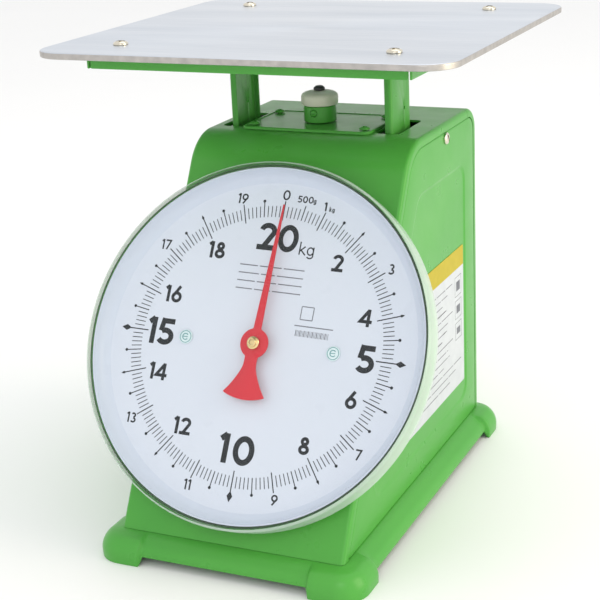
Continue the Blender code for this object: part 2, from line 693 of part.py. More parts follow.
def make_tray():
    """Stainless tray: flat sheet with rounded corners and its rim folded down."""
    half_x = TRAY_WIDTH / 2
    half_y = TRAY_DEPTH / 2
    rim = 0.0042
    middle_x, middle_y = TRAY_MIDDLE
    corners = [(middle_x + sx * half_x, middle_y + sy * half_y)
               for sx, sy in ((-1, -1), (1, -1), (1, 1), (-1, 1))]

    def outline(inset, z):
        points = rounded_outline(inset_corners(corners, [inset] * 4), [TRAY_CORNER - inset] * 4, 6)
        return [(p.x, p.y, z) for p in points]

    loops = [
        outline(0.0012, TRAY_TOP),
        outline(0.0, TRAY_TOP - 0.0010),
        outline(0.0, TRAY_TOP - rim),
        outline(TRAY_SHEET, TRAY_TOP - rim),
        outline(TRAY_SHEET, TRAY_TOP - TRAY_SHEET),
    ]
    tray = add_object("tray", loft(loops), "stainless", smooth=True)
    cutters = []
    for i, (x, y) in enumerate(TRAY_SCREWS):
        cutters.append(rod_cutter(f"tray_{i}", 0.0022, 0.01, place(x, y, TRAY_TOP)))
        screw(f"tray_screw_{i + 1}", place(x, y, TRAY_TOP + 0.0002), 0.0050, 0.0026, 0.0019, 0.008,
              "nickel")
    cut(tray, cutters)


# ---- rack, pinion and pointer -------------------------------------------------------------------

def involute(angle):
    return math.tan(angle) - angle


def pinion_outline():
    """Tooth outline of the pinion, with a tooth pointing along +X."""
    pressure = math.radians(20)
    base_radius = PITCH_RADIUS * math.cos(pressure)
    half_at_pitch = 0.00028 / PITCH_RADIUS
    radii = (base_radius, 0.00315, 0.00345)
    root = 0.00228
    points = []
    for tooth in range(PINION_TEETH):
        middle = 2 * math.pi * tooth / PINION_TEETH
        halves = []
        for radius in radii:
            local = math.acos(min(1.0, base_radius / radius))
            halves.append(half_at_pitch + involute(pressure) - involute(local))
        flank = [(root, halves[0])] + list(zip(radii, halves))
        for radius, half in flank:
            points.append((radius * math.cos(middle - half), radius * math.sin(middle - half)))
        for radius, half in reversed(flank):
            points.append((radius * math.cos(middle + half), radius * math.sin(middle + half)))
    return points


def rack_outline():
    """Rack in the dial's plane: teeth towards the pinion, a gap level with the pinion's axis."""
    pitch = math.pi * RACK_MODULE
    tip = PITCH_RADIUS - 0.00040
    root = PITCH_RADIUS + 0.00062
    back = 0.0064
    half_tip = 0.00014
    half_root = 0.00046
    points = []
    for tooth in range(-3, 14):
        middle = (tooth + 0.5) * pitch
        points += [(root, middle - half_root), (tip, middle - half_tip), (tip, middle + half_tip),
                   (root, middle + half_root)]
    top = 13.5 * pitch + 0.0015
    bottom = -2.5 * pitch - 0.0015
    return [(root, bottom)] + points + [(root, top), (back, top), (back, bottom)]


def make_rack_and_arm():
    depth = (-0.0200, -0.0170)
    loops = [[(x, up, out) for x, up in rack_outline()] for out in depth]
    add_object("rack", loft(loops), "brass", DIAL_FRAME)
    near = DIAL_FRAME @ Vector((0, 0.0220, -0.0172))
    low = DIAL_FRAME @ Vector((0, 0.0070, -0.0172))
    bar_front = 0.0277
    outline = [(near.y, near.z), (low.y, low.z), (low.y + 0.012, low.z - 0.006), (bar_front, 0.0845),
               (bar_front, 0.0955), (low.y + 0.030, near.z + 0.002)]
    left = HOUSING_X + 0.0067
    loops = [[(x, y, z) for y, z in outline] for x in (left, left + 0.0028)]
    add_object("rack_arm", loft(loops), "zinc")


def make_pinion_spindle():
    shaft = 0.0015
    profile = [(0.0, -0.0460), (shaft, -0.0460), (shaft, 0.0046), (0.0030, 0.0046), (0.0030, 0.0057),
               (shaft, 0.0057), (shaft, 0.0108), (0.0, 0.0108)]
    spindle = add_object("pinion_spindle", lathe(profile, 12), "brass", DIAL_FRAME, smooth=True)
    loops = [[(x, y, z) for x, y in pinion_outline()] for z in (-0.0335, -0.0155)]
    teeth = add_object("cutter_pinion_teeth", loft(loops), "brass", DIAL_FRAME)
    cut(spindle, [teeth], "UNION")


def make_movement_bracket():
    """Bracket behind the front cover whose two plates carry the spindle."""
    xs = (-0.014, -0.012, 0.0055)
    ys = (-0.028, -0.016, 0.016, 0.028)
    zs = (-0.0440, -0.0420, -0.0140, -0.0105)

    def filled(i, j, k):
        middle = j == 1
        if k == 2:
            return True
        if i == 0:
            return middle
        return middle and k == 0

    bracket = add_object("movement_bracket", grid_solid(xs, ys, zs, filled), "zinc", DIAL_FRAME)
    cutters = [rod_cutter("spindle_bearings", 0.0015 + RUNNING, 0.08, DIAL_FRAME @ place(0, 0, -0.02))]
    for x, up in BRACKET_SCREWS:
        hole_place = DIAL_FRAME @ place(x, up, -0.012)
        cutters.append(rod_cutter(f"bracket_hole_{up}", 0.0019, 0.01, hole_place))
    cut(bracket, cutters)
    for i, (x, up) in enumerate(BRACKET_SCREWS):
        head = DIAL_FRAME @ place(x, up, -FACE_BEHIND_DIAL + 0.0002)
        screw(f"bracket_screw_{i + 1}", head, 0.0034, 0.0018, 0.0016, 0.008, "nickel")


def make_pointer():
    """Red pointer: long tapered blade, round hub, and a fan-shaped tail."""
    half = [(0.0005, 0.0925), (0.0013, 0.0700), (0.0020, 0.0450)]
    hub = 0.0098
    start = math.radians(73)
    end = math.radians(-63)
    for k in range(7):
        a = start + (end - start) * k / 6
        half.append((hub * math.cos(a), hub * math.sin(a)))
    half += [(0.0050, -0.0160), (0.0073, -0.0215), (0.0110, -0.0285)]
    tail_radius = 0.0368
    for k in range(5):
        a = math.radians(66 + 6 * k)
        half.append((tail_radius * math.cos(a), -tail_radius * math.sin(a)))
    outline = half + [(-x, y) for x, y in reversed(half[:-1])]
    loops = [[(x, y, z) for x, y in outline] for z in (0.0060, 0.0068)]
    pointer = add_object("pointer", loft(loops), "red", DIAL_FRAME @ Matrix.Rotation(POINTER_TURN, 4, "Z"))
    cut(pointer, [rod_cutter("pointer_hole", 0.0017, 0.01, DIAL_FRAME @ place(0, 0, 0.0064))])
    profile = [(0.0017, 0.0071), (0.0042, 0.0071), (0.0042, 0.0088), (0.0032, 0.0112), (0.0017, 0.0112)]
    add_object("pointer_nut", lathe(profile, 12), "brass", DIAL_FRAME, smooth=True)


# ---- dial -------------------------------------------------------------------------------------

def make_dial():
    sides = 48
    back = -FACE_BEHIND_DIAL + 0.0004
    case = [(0.030, back), (CASE_RADIUS - 0.002, back), (CASE_RADIUS, back + 0.002), (CASE_RADIUS, 0.0105),
            (CASE_RADIUS - 0.001, 0.0105), (CASE_RADIUS - 0.001, back + 0.0024),
            (CASE_RADIUS - 0.0022, back + 0.0012), (0.030, back + 0.0012)]
    case_object = add_object("dial_case", lathe(case, sides), "green", DIAL_FRAME, smooth=True)
    front = [(0.106, 0.0), (0.1118, 0.0024), (DISH_RADIUS - 0.0009, 0.0098)]
    rear = [(DISH_RADIUS, 0.0098), (0.1128, 0.0020), (0.1062, -0.0008)]
    dish = [(0.0022, 0.0)] + front + rear + [(0.0022, -0.0008)]
    plate = add_object("dial_plate", lathe(dish, sides), "dial_white", DIAL_FRAME, smooth=True)
    cover_front = 0.0135
    thickness = 0.0019
    inner = COVER_RADIUS - thickness
    cover = [(0.0, cover_front + 0.0018), (0.070, cover_front + 0.0012), (0.117, cover_front),
             (0.1192, cover_front - 0.0009), (COVER_RADIUS, cover_front - 0.003), (COVER_RADIUS, -0.003),
             (inner, -0.003), (inner, cover_front - 0.0026), (0.1170, cover_front - thickness),
             (0.070, cover_front + 0.0012 - thickness), (0.0, cover_front + 0.0018 - thickness)]
    add_object("dial_cover", lathe(cover, sides), "clear", DIAL_FRAME, smooth=True)
    for side, name in ((-1, "left"), (1, "right")):
        x = side * DIAL_SCREW_X
        hole_place = DIAL_FRAME @ place(x, 0, 0)
        cut(plate, [rod_cutter(f"plate_{name}", 0.0019, 0.006, hole_place)])
        cut(case_object, [rod_cutter(f"case_{name}", 0.0019, 0.006, DIAL_FRAME @ place(x, 0, back))])
        low = back + 0.0012 + GAP
        high = -0.0008 - GAP
        tube = [(0.0020, low), (0.0045, low), (0.0045, high), (0.0020, high)]
        add_object(f"{name}_dial_spacer", lathe(tube, 16), "zinc", DIAL_FRAME @ place(x, 0, 0), smooth=True)
        screw(f"{name}_dial_screw", DIAL_FRAME @ place(x, 0, 0.0002), 0.0047, 0.0010, 0.0016, 0.014,
              "zinc", domed=False)


# ---- shared places and assembly -----------------------------------------------------------------

PLATE_TOP = HOUSING_TOP + GAP + 0.0018
PLATE_SCREWS = [(x, LOAD_Y + y) for y in (-0.020, 0.021) for x in (-0.041, 0.041)]
BASE_SCREWS = [(x, y) for y in (0.020, 0.098) for x in (-0.053, 0.053)]
TRAY_SCREWS = [(TRAY_MIDDLE[0] + sx * TRAY_SCREW_OFFSET, TRAY_MIDDLE[1] + sy * TRAY_SCREW_OFFSET)
               for sy in (-1, 1) for sx in (-1, 1)]
BRACKET_SCREWS = [(-0.004, -0.022), (-0.004, 0.022)]
DIAL_SCREW_X = 0.0527
SIDE_SCREW_Y = 0.053
SIDE_SCREW_Z = 0.2425
LEG_HOLES = [(LOAD_Y + 0.004, 0.3015), (LOAD_Y + 0.006, 0.2655)]
OBJECT_MIDDLE = (-0.0044, 0.0038)       # middle of the whole object from the adjuster's frame


def make_base_screws():
    head = Matrix.Rotation(math.pi, 4, "X")
    for i, (x, y) in enumerate(BASE_SCREWS):
        screw(f"base_screw_{i + 1}", place(x, y, BASE_FLOOR - 0.0017) @ head, 0.0040, 0.0020, 0.0016,
              0.007, "zinc")


def build():
    clear_scene()
    make_base()
    make_base_screws()
    make_front_top_cover()
    make_rear_cover()
    make_side_panel("left_side_panel", -1)
    make_side_panel("right_side_panel", 1)
    make_side_label()
    make_uprights()
    make_link_shafts()
    for link in LINK_HEIGHTS:
        make_link(link)
    make_top_plate()
    make_zero_adjuster()
    make_spring("left_spring", -SPRING_X)
    make_spring("right_spring", SPRING_X)
    make_legs()
    make_load_bars()
    make_tray_frame()
    make_tray()
    make_rack_and_arm()
    make_pinion_spindle()
    make_movement_bracket()
    make_pointer()
    make_dial()
    to_origin = place(-OBJECT_MIDDLE[0], -OBJECT_MIDDLE[1], 0)
    for piece in bpy.data.objects:
        piece.matrix_world = to_origin @ piece.matrix_world


build()
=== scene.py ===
"""Looks of the mechanical dial platform scale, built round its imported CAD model.

Metres, +Z up, front towards -Y. The shapes follow the CAD bodies and stay inside the CAD box.
They are drawn about the zero adjuster's axis, and make_object() moves them to the CAD frame.
Detailed pieces replace the CAD nodes that show, and the mechanism inside keeps its CAD shapes.
"""

import json
import math

import bmesh
import bpy
from mathutils import Matrix, Vector


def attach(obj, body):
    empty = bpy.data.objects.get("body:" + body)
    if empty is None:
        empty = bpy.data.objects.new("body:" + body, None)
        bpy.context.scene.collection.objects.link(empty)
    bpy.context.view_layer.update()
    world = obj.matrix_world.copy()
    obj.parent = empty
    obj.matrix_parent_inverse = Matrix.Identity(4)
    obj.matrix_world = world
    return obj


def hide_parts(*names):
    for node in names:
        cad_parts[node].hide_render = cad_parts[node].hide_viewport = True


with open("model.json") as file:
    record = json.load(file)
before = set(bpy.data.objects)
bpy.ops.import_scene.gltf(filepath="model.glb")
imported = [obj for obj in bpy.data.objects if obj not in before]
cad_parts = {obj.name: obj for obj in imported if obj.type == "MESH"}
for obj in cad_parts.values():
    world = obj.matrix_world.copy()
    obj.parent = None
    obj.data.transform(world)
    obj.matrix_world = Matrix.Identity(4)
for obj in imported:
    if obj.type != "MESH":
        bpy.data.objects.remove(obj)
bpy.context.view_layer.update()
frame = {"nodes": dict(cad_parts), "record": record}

# ---- driving dimensions -------------------------------------------------------------------

SHEET = 0.0015
GAP = 0.0003

HOUSING_X = 0.0055
HOUSING_HALF_WIDTH = 0.079
HOUSING_BOTTOM = 0.0183
HOUSING_TOP = 0.253
HOUSING_REAR = 0.120
FACE_TILT = math.radians(29.7)
FACE_TOP_Y = -0.0149
FRONT_BEND = 0.034
REAR_BEND = 0.017
COVER_SPLIT_Y = 0.1005
SIDE_FLANGE = 0.006
EDGE_RADIUS = 0.003
FIELD_MARGINS = (0.028, 0.036, 0.026, 0.018)
FIELD_CORNERS = (0.012, 0.016, 0.012, 0.012)
FIELD_DEPTH = 0.0008
LABEL_FRONT, LABEL_REAR = -0.031, 0.0890
LABEL_BOTTOM, LABEL_TOP = 0.0515, 0.1565
LABEL_HEADER = 0.1417                   # the label's coloured header starts at this height

BASE_FLOOR = 0.018
FOOT_LENGTH = 0.020
BASE_WALL = 0.0015

DIAL_CENTRE = Vector((HOUSING_X, -0.0923, 0.1342))
COVER_RADIUS = 0.120
CASE_RADIUS = 0.1177
DISH_RADIUS = 0.1162
FACE_BEHIND_DIAL = 0.0084
CASE_BACK = -FACE_BEHIND_DIAL + 0.0004
COVER_FRONT = 0.0135
COVER_WALL = 0.0019
SEAL_X = 0.0527                         # dial screws, under their seals
PRINT_TURN = math.radians(-1.15)        # the printed scale sits slightly clockwise
POINTER_TURN = math.radians(-2.6)       # and the unloaded pointer rests a little further round

LOAD_Y = 0.033                          # middle of the load frame
TRAY_MIDDLE = (-0.0044, 0.0374)
TRAY_WIDTH = 0.2868
TRAY_DEPTH = 0.2688
TRAY_TOP = 0.3195
TRAY_CORNER = 0.023
TRAY_SCREW_OFFSET = 0.0955
FRAME_HALF_X = 0.1112
FRAME_HALF_Y = 0.116
FRAME_BOTTOM = 0.3077
FRAME_TOP = TRAY_TOP - SHEET - GAP

LEG_OUTER_X = 0.060
LEG_INNER_X = 0.055
LEG_DEPTH = 0.036
PLATE_TOP = HOUSING_TOP + GAP + 0.0018
PLATE_SCREWS = [(x, LOAD_Y + y) for y in (-0.020, 0.021) for x in (-0.041, 0.041)]
TRAY_SCREWS = [(TRAY_MIDDLE[0] + sx * TRAY_SCREW_OFFSET, TRAY_MIDDLE[1] + sy * TRAY_SCREW_OFFSET)
               for sy in (-1, 1) for sx in (-1, 1)]
LEG_HOLES = [(LOAD_Y + 0.004, 0.3015), (LOAD_Y + 0.006, 0.2655)]
SIDE_SCREW = (0.053, 0.2425)            # y and z of the screw that holds each side panel

ALONG_X = Matrix.Rotation(math.pi / 2, 4, "Y")
FACING_FRONT = Matrix.Rotation(math.pi / 2, 4, "X")
TO_ORIGIN = Matrix.Translation((0.0044, -0.0038, 0.0))   # from the adjuster's frame to the CAD frame
DIAL_FRAME = Matrix.Translation(DIAL_CENTRE) @ Matrix.Rotation(math.pi / 2 - FACE_TILT, 4, "X")
PRINT_FRAME = DIAL_FRAME @ Matrix.Rotation(PRINT_TURN, 4, "Z")


# ---- mesh helpers -------------------------------------------------------------------------

def place(x, y, z):
    return Matrix.Translation((x, y, z))


def loft(loops, caps=True):
    """Skins a list of equal-length point loops, with its first and last loop capped or not."""
    bm = bmesh.new()
    rows = [[bm.verts.new(point) for point in loop] for loop in loops]
    count = len(rows[0])
    for low, high in zip(rows, rows[1:]):
        for i in range(count):
            j = (i + 1) % count
            bm.faces.new((low[i], low[j], high[j], high[i]))
    if caps:
        bm.faces.new(list(reversed(rows[0])))
        bm.faces.new(rows[-1])
    return bm


def lathe(profile, sides=96):
    """Turns a closed (radius, height) outline about Z; points at radius 0 close on the axis."""
    bm = bmesh.new()
    columns = []
    turn = [2 * math.pi * (k + 0.5) / sides for k in range(sides)]
    for radius, height in profile:
        if radius == 0.0:
            columns.append([bm.verts.new((0.0, 0.0, height))] * sides)
        else:
            points = [(radius * math.cos(a), radius * math.sin(a), height) for a in turn]
            columns.append([bm.verts.new(point) for point in points])
    for i, column in enumerate(columns):
        after = columns[(i + 1) % len(columns)]
        for k in range(sides):
            m = (k + 1) % sides
            corners = list(dict.fromkeys((column[k], column[m], after[m], after[k])))
            if len(corners) > 2:
                bm.faces.new(corners)
    return bm


def rounded_outline(corners, radii, segments=8):
    """Points round a convex polygon whose corners are rounded; every corner gives segments + 1."""
    points = []
    count = len(corners)
    for i, corner in enumerate(corners):
        here = Vector(corner)
        before = (Vector(corners[i - 1]) - here).normalized()
        after = (Vector(corners[(i + 1) % count]) - here).normalized()
        half = before.angle(after) / 2
        reach = radii[i] / math.tan(half)
        centre = here + (before + after).normalized() * (radii[i] / math.sin(half))
        start = here + before * reach - centre
        end = here + after * reach - centre
        sweep = start.angle_signed(end)
        for k in range(segments + 1):
            turned = start.copy()
            turned.rotate(Matrix.Rotation(-sweep * k / segments, 2))
            points.append(centre + turned)
    return points


def inset_corners(corners, distances):
    """Moves each edge of a convex polygon inwards; distances[i] is for the edge from corner i."""
    count = len(corners)
    middle = sum((Vector(c) for c in corners), Vector((0, 0))) / count
    lines = []
    for i in range(count):
        a = Vector(corners[i])
        b = Vector(corners[(i + 1) % count])
        along = (b - a).normalized()
        inward = Vector((-along.y, along.x))
        if inward.dot(middle - a) < 0:
            inward = -inward
        lines.append((a + inward * distances[i], along))
    result = []
    for i in range(count):
        p, u = lines[i - 1]
        q, v = lines[i]
        t = ((q - p).x * v.y - (q - p).y * v.x) / (u.x * v.y - u.y * v.x)
        result.append(p + u * t)
    return result


def spline(points, steps):
    """Points on a smooth curve through the control points, steps to each span."""
    padded = [points[0]] + list(points) + [points[-1]]
    result = []
    for i in range(1, len(padded) - 2):
        a, b, c, d = (Vector(p) for p in padded[i - 1:i + 3])
        for k in range(steps):
            t = k / steps
            result.append(0.5 * (2 * b + (c - a) * t + (2 * a - 5 * b + 4 * c - d) * t * t
                                 + (3 * b - a - 3 * c + d) * t ** 3))
    result.append(Vector(points[-1]))
    return result


def smoothstep(low, high, value):
    t = min(max((value - low) / (high - low), 0.0), 1.0)
    return t * t * (3 - 2 * t)


def box_mesh(low, high):
    """A closed box between two corners."""
    bm = bmesh.new()
    bmesh.ops.create_cube(bm, size=1.0)
    middle = (Vector(low) + Vector(high)) / 2
    size = Vector(high) - Vector(low)
    bmesh.ops.scale(bm, vec=size, verts=bm.verts)
    bmesh.ops.translate(bm, vec=middle, verts=bm.verts)
    return bm


def make_object(name, bm, matrix=None, smooth=30):
    """A mesh object whose place is in its vertices, shaded smooth up to an angle in degrees."""
    bm.transform(TO_ORIGIN @ matrix if matrix is not None else TO_ORIGIN)
    bmesh.ops.recalc_face_normals(bm, faces=bm.faces)
    mesh = bpy.data.meshes.new(name)
    bm.to_mesh(mesh)
    bm.free()
    if smooth:
        mesh.shade_smooth()
        mesh.set_sharp_from_angle(angle=math.radians(smooth))
    obj = bpy.data.objects.new(name, mesh)
    bpy.context.scene.collection.objects.link(obj)
    return obj


def bake_modifiers(obj, smooth=30):
    """Replaces the object's mesh by its modified mesh."""
    graph = bpy.context.evaluated_depsgraph_get()
    mesh = bpy.data.meshes.new_from_object(obj.evaluated_get(graph))
    obj.modifiers.clear()
    obj.data = mesh
    if smooth:
        mesh.shade_smooth()
        mesh.set_sharp_from_angle(angle=math.radians(smooth))


def carve(obj, cutters, smooth=30):
    """Cuts the cutters out of the object and removes them."""
    for cutter in cutters:
        modifier = obj.modifiers.new("cut", "BOOLEAN")
        modifier.operation = "DIFFERENCE"
        modifier.solver = "EXACT"
        modifier.object = cutter
    bake_modifiers(obj, smooth)
    for cutter in cutters:
        bpy.data.objects.remove(cutter, do_unlink=True)


def round_edges(obj, width, segments=3, angle=40):
    """Rounds the object's sharp edges."""
    modifier = obj.modifiers.new("round", "BEVEL")
    modifier.width = width
    modifier.segments = segments
    modifier.limit_method = "ANGLE"
    modifier.angle_limit = math.radians(angle)
    modifier.harden_normals = False
    bake_modifiers(obj)


def rod(radius, length, matrix, sides=32):
    """A round cutter about the matrix's Z axis, centred on its origin."""
    profile = [(0.0, -length / 2), (radius, -length / 2), (radius, length / 2), (0.0, length / 2)]
    return make_object("cutter", lathe(profile, sides), matrix)


def finish_piece(obj, material, body, slot, *nodes):
    """Gives a piece its material and body, and hides the CAD nodes that it stands for; slot is not used."""
    obj.data.materials.clear()
    obj.data.materials.append(material)
    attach(obj, body)
    if nodes:
        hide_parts(*nodes)
    return obj


# ---- materials ----------------------------------------------------------------------------

def new_material(name, colour, roughness, **sockets):
    """A material with a Principled shader whose plain values are set on its own sockets."""
    material = bpy.data.materials.new(name)
    material.use_nodes = True
    shader = material.node_tree.nodes["Principled BSDF"]
    shader.inputs["Base Color"].default_value = (*colour, 1.0)
    shader.inputs["Roughness"].default_value = roughness
    for socket, value in sockets.items():
        shader.inputs[socket.replace("_", " ").title().replace("Ior", "IOR")].default_value = value
    return material


def add_noise(material, scale, detail=3.0, stretch=(1.0, 1.0, 1.0)):
    """Noise in the object's own metres, stretched along its axes; returns its output socket."""
    nodes = material.node_tree.nodes
    links = material.node_tree.links
    coordinates = nodes.new("ShaderNodeTexCoord")
    mapping = nodes.new("ShaderNodeMapping")
    mapping.inputs["Scale"].default_value = stretch
    noise = nodes.new("ShaderNodeTexNoise")
    noise.inputs["Scale"].default_value = scale
    noise.inputs["Detail"].default_value = detail
    links.new(coordinates.outputs["Object"], mapping.inputs["Vector"])
    links.new(mapping.outputs["Vector"], noise.inputs["Vector"])
    return noise.outputs["Fac"]


def add_ramp(material, source, stops):
    """Maps a value to colours through a ramp of (position, colour) stops."""
    ramp = material.node_tree.nodes.new("ShaderNodeValToRGB")
    elements = ramp.color_ramp.elements
    while len(elements) < len(stops):
        elements.new(0.5)
    for element, (position, colour) in zip(elements, stops):
        element.position = position
        element.color = (*colour, 1.0)
    material.node_tree.links.new(source, ramp.inputs["Fac"])
    return ramp.outputs["Color"]


def vary_colour(material, first, second, scale, detail=3.0, stretch=(1.0, 1.0, 1.0)):
    """Base colour drifts between two close shades."""
    noise = add_noise(material, scale, detail, stretch)
    colour = add_ramp(material, noise, [(0.3, first), (0.7, second)])
    shader = material.node_tree.nodes["Principled BSDF"]
    material.node_tree.links.new(colour, shader.inputs["Base Color"])


def vary_roughness(material, low, high, scale, stretch=(1.0, 1.0, 1.0)):
    """Roughness drifts between two values."""
    noise = add_noise(material, scale, 4.0, stretch)
    spread = material.node_tree.nodes.new("ShaderNodeMapRange")
    spread.inputs["From Min"].default_value = 0.3
    spread.inputs["From Max"].default_value = 0.7
    spread.inputs["To Min"].default_value = low
    spread.inputs["To Max"].default_value = high
    material.node_tree.links.new(noise, spread.inputs["Value"])
    shader = material.node_tree.nodes["Principled BSDF"]
    material.node_tree.links.new(spread.outputs["Result"], shader.inputs["Roughness"])


def add_bump(material, scale, height, detail=3.0, stretch=(1.0, 1.0, 1.0)):
    """Fine relief, its height in metres."""
    noise = add_noise(material, scale, detail, stretch)
    bump = material.node_tree.nodes.new("ShaderNodeBump")
    bump.inputs["Strength"].default_value = 1.0
    bump.inputs["Distance"].default_value = height
    material.node_tree.links.new(noise, bump.inputs["Height"])
    shader = material.node_tree.nodes["Principled BSDF"]
    material.node_tree.links.new(bump.outputs["Normal"], shader.inputs["Normal"])


def enamel(name, light, dark):
    """Glossy baked enamel: slight orange peel, a slow drift of shade, uneven gloss."""
    material = new_material(name, light, 0.3, specular_ior_level=0.28)
    vary_colour(material, dark, light, 14.0, 2.0)
    vary_roughness(material, 0.27, 0.34, 60.0)
    add_bump(material, 260.0, 0.000008, 1.0)
    return material


def plated(name, first, second, roughness, grain=900.0, height=0.00001, stretch=(1.0, 1.0, 1.0)):
    """Bare or plated metal with cloudy tone and fine tool marks."""
    material = new_material(name, first, roughness, metallic=1.0)
    vary_colour(material, first, second, 160.0, 4.0)
    vary_roughness(material, roughness * 0.8, roughness * 1.25, 300.0)
    add_bump(material, grain, height, 3.0, stretch)
    return material


def moulded(name, first, second, roughness, specular=0.5):
    """Moulded plastic, or dull ink, with a faint grain."""
    material = new_material(name, first, roughness, specular_ior_level=specular)
    vary_colour(material, first, second, 90.0)
    vary_roughness(material, roughness * 0.85, roughness * 1.2, 200.0)
    add_bump(material, 1500.0, 0.000012)
    return material


def make_stainless():
    """Satin stainless sheet, polished along X, with faint cloudy reflections."""
    material = new_material("stainless_satin", (0.60, 0.64, 0.70), 0.34, metallic=1.0, anisotropic=0.4)
    vary_colour(material, (0.56, 0.60, 0.66), (0.68, 0.71, 0.76), 9.0, 5.0, (0.5, 3.0, 1.0))
    vary_roughness(material, 0.30, 0.42, 40.0, (0.6, 12.0, 1.0))
    add_bump(material, 350.0, 0.000012, 2.0, (0.12, 6.0, 1.0))
    return material


def make_label_film():
    """Printed film: a yellow header band over a white field, by height on the label."""
    material = new_material("label_print", (0.62, 0.63, 0.64), 0.5, specular_ior_level=0.15)
    nodes = material.node_tree.nodes
    links = material.node_tree.links
    coordinates = nodes.new("ShaderNodeTexCoord")
    split = nodes.new("ShaderNodeSeparateXYZ")
    above = nodes.new("ShaderNodeMath")
    above.operation = "GREATER_THAN"
    above.inputs[1].default_value = LABEL_HEADER
    mix = nodes.new("ShaderNodeMix")
    mix.data_type = "RGBA"
    white = [(0.3, (0.55, 0.58, 0.63)), (0.7, (0.60, 0.63, 0.68))]
    yellow = [(0.3, (0.46, 0.38, 0.030)), (0.7, (0.50, 0.41, 0.036))]
    cloud = add_ramp(material, add_noise(material, 120.0), white)
    header = add_ramp(material, add_noise(material, 150.0), yellow)
    links.new(coordinates.outputs["Object"], split.inputs["Vector"])
    links.new(split.outputs["Z"], above.inputs[0])
    links.new(above.outputs["Value"], mix.inputs["Factor"])
    links.new(cloud, mix.inputs[6])
    links.new(header, mix.inputs[7])
    links.new(mix.outputs[2], nodes["Principled BSDF"].inputs["Base Color"])
    add_bump(material, 600.0, 0.000006)
    return material


def make_clear(name, first, second, alpha, roughness):
    """Clear moulding: mostly see-through, with a slight tint and soft reflections."""
    material = new_material(name, first, roughness, alpha=alpha)
    vary_colour(material, first, second, 30.0)
    vary_roughness(material, roughness * 0.8, roughness * 1.2, 40.0)
    add_bump(material, 60.0, 0.00001, 2.0)
    return material


MATERIALS = {
    "green": enamel("green_enamel_gloss", (0.086, 0.375, 0.056), (0.074, 0.345, 0.052)),
    "stainless": make_stainless(),
    # painted shade: darker metal on the tray's rolled rim, standing in for the dark line of shade along its
    # edge
    "hem_shade": plated("stainless_hem_painted_shade", (0.56, 0.53, 0.50), (0.44, 0.42, 0.40), 0.42),
    "nickel": plated("nickel_plate", (0.76, 0.71, 0.60), (0.66, 0.61, 0.50), 0.20),
    "brass": plated("brass_turned", (0.86, 0.68, 0.34), (0.74, 0.56, 0.26), 0.24),
    "zinc": plated("zinc_passivated", (0.60, 0.61, 0.62), (0.48, 0.49, 0.52), 0.38),
    "spring": plated("spring_wire_oiled", (0.34, 0.35, 0.37), (0.22, 0.23, 0.25), 0.30),
    "ivory": moulded("ivory_moulded", (0.74, 0.73, 0.61), (0.66, 0.65, 0.53), 0.36),
    "black": moulded("black_moulded", (0.030, 0.030, 0.032), (0.018, 0.018, 0.020), 0.38),
    "dial": enamel("dial_white_enamel", (0.66, 0.71, 0.80), (0.645, 0.695, 0.785)),
    # painted shade: the dish's upturned flank in a darker blue-grey, as it faces down and lies in shade
    "flank": enamel("dial_flank_enamel", (0.59, 0.65, 0.755), (0.575, 0.635, 0.74)),
    # painted shade: dark green on the case's lip, standing in for the shadow in the gap round the dish
    "gap_shade": enamel("case_lip_painted_shade", (0.020, 0.070, 0.020), (0.016, 0.055, 0.016)),
    "ink": moulded("print_ink_dark", (0.010, 0.012, 0.016), (0.016, 0.019, 0.024), 0.6, 0.1),
    "faint_ink": moulded("print_ink_grey", (0.16, 0.17, 0.20), (0.21, 0.22, 0.25), 0.6, 0.1),
    "red": enamel("pointer_red_enamel", (0.62, 0.018, 0.034), (0.57, 0.015, 0.030)),
    "clear": make_clear("cover_clear", (0.90, 0.94, 0.95), (0.86, 0.91, 0.92), 0.02, 0.10),
    # painted reflection: the rim wall's pale green-white, nearly opaque, stands in for grazing reflections
    # and the green case seen through it
    "clear_rim_reflection": make_clear("cover_rim_painted_reflection", (0.70, 0.82, 0.76), (0.64, 0.76, 0.69), 0.60, 0.16),
    "label": make_label_film(),
    "seal": moulded("seal_film", (0.62, 0.76, 0.78), (0.70, 0.82, 0.84), 0.4),
    "seal_mark": moulded("seal_print", (0.10, 0.30, 0.32), (0.14, 0.35, 0.37), 0.45),
}

NODE_LOOKS = {
    "green_enamel": "green",
    "stainless_steel": "stainless",
    "nickel": "nickel",
    "zinc_steel": "zinc",
    "spring_steel": "spring",
    "brass": "brass",
    "ivory_plastic": "ivory",
    "black_plastic": "black",
    "dial_white": "dial",
    "pointer_red": "red",
    "clear_plastic": "clear",
    "label_film": "label",
}


def dress_cad_nodes():
    """Every carried-over CAD node takes the procedural look of its own material slot."""
    for part in frame["record"]["subparts"]:
        node = frame["nodes"][part["node"]]
        look = MATERIALS[NODE_LOOKS[part["material_slot"]]]
        node.data.materials.clear()
        node.data.materials.append(look)


# ---- base ---------------------------------------------------------------------------------

def face_y(height):
    """Y of the front face's plane at a height."""
    return FACE_TOP_Y - (HOUSING_TOP - height) * math.tan(FACE_TILT)


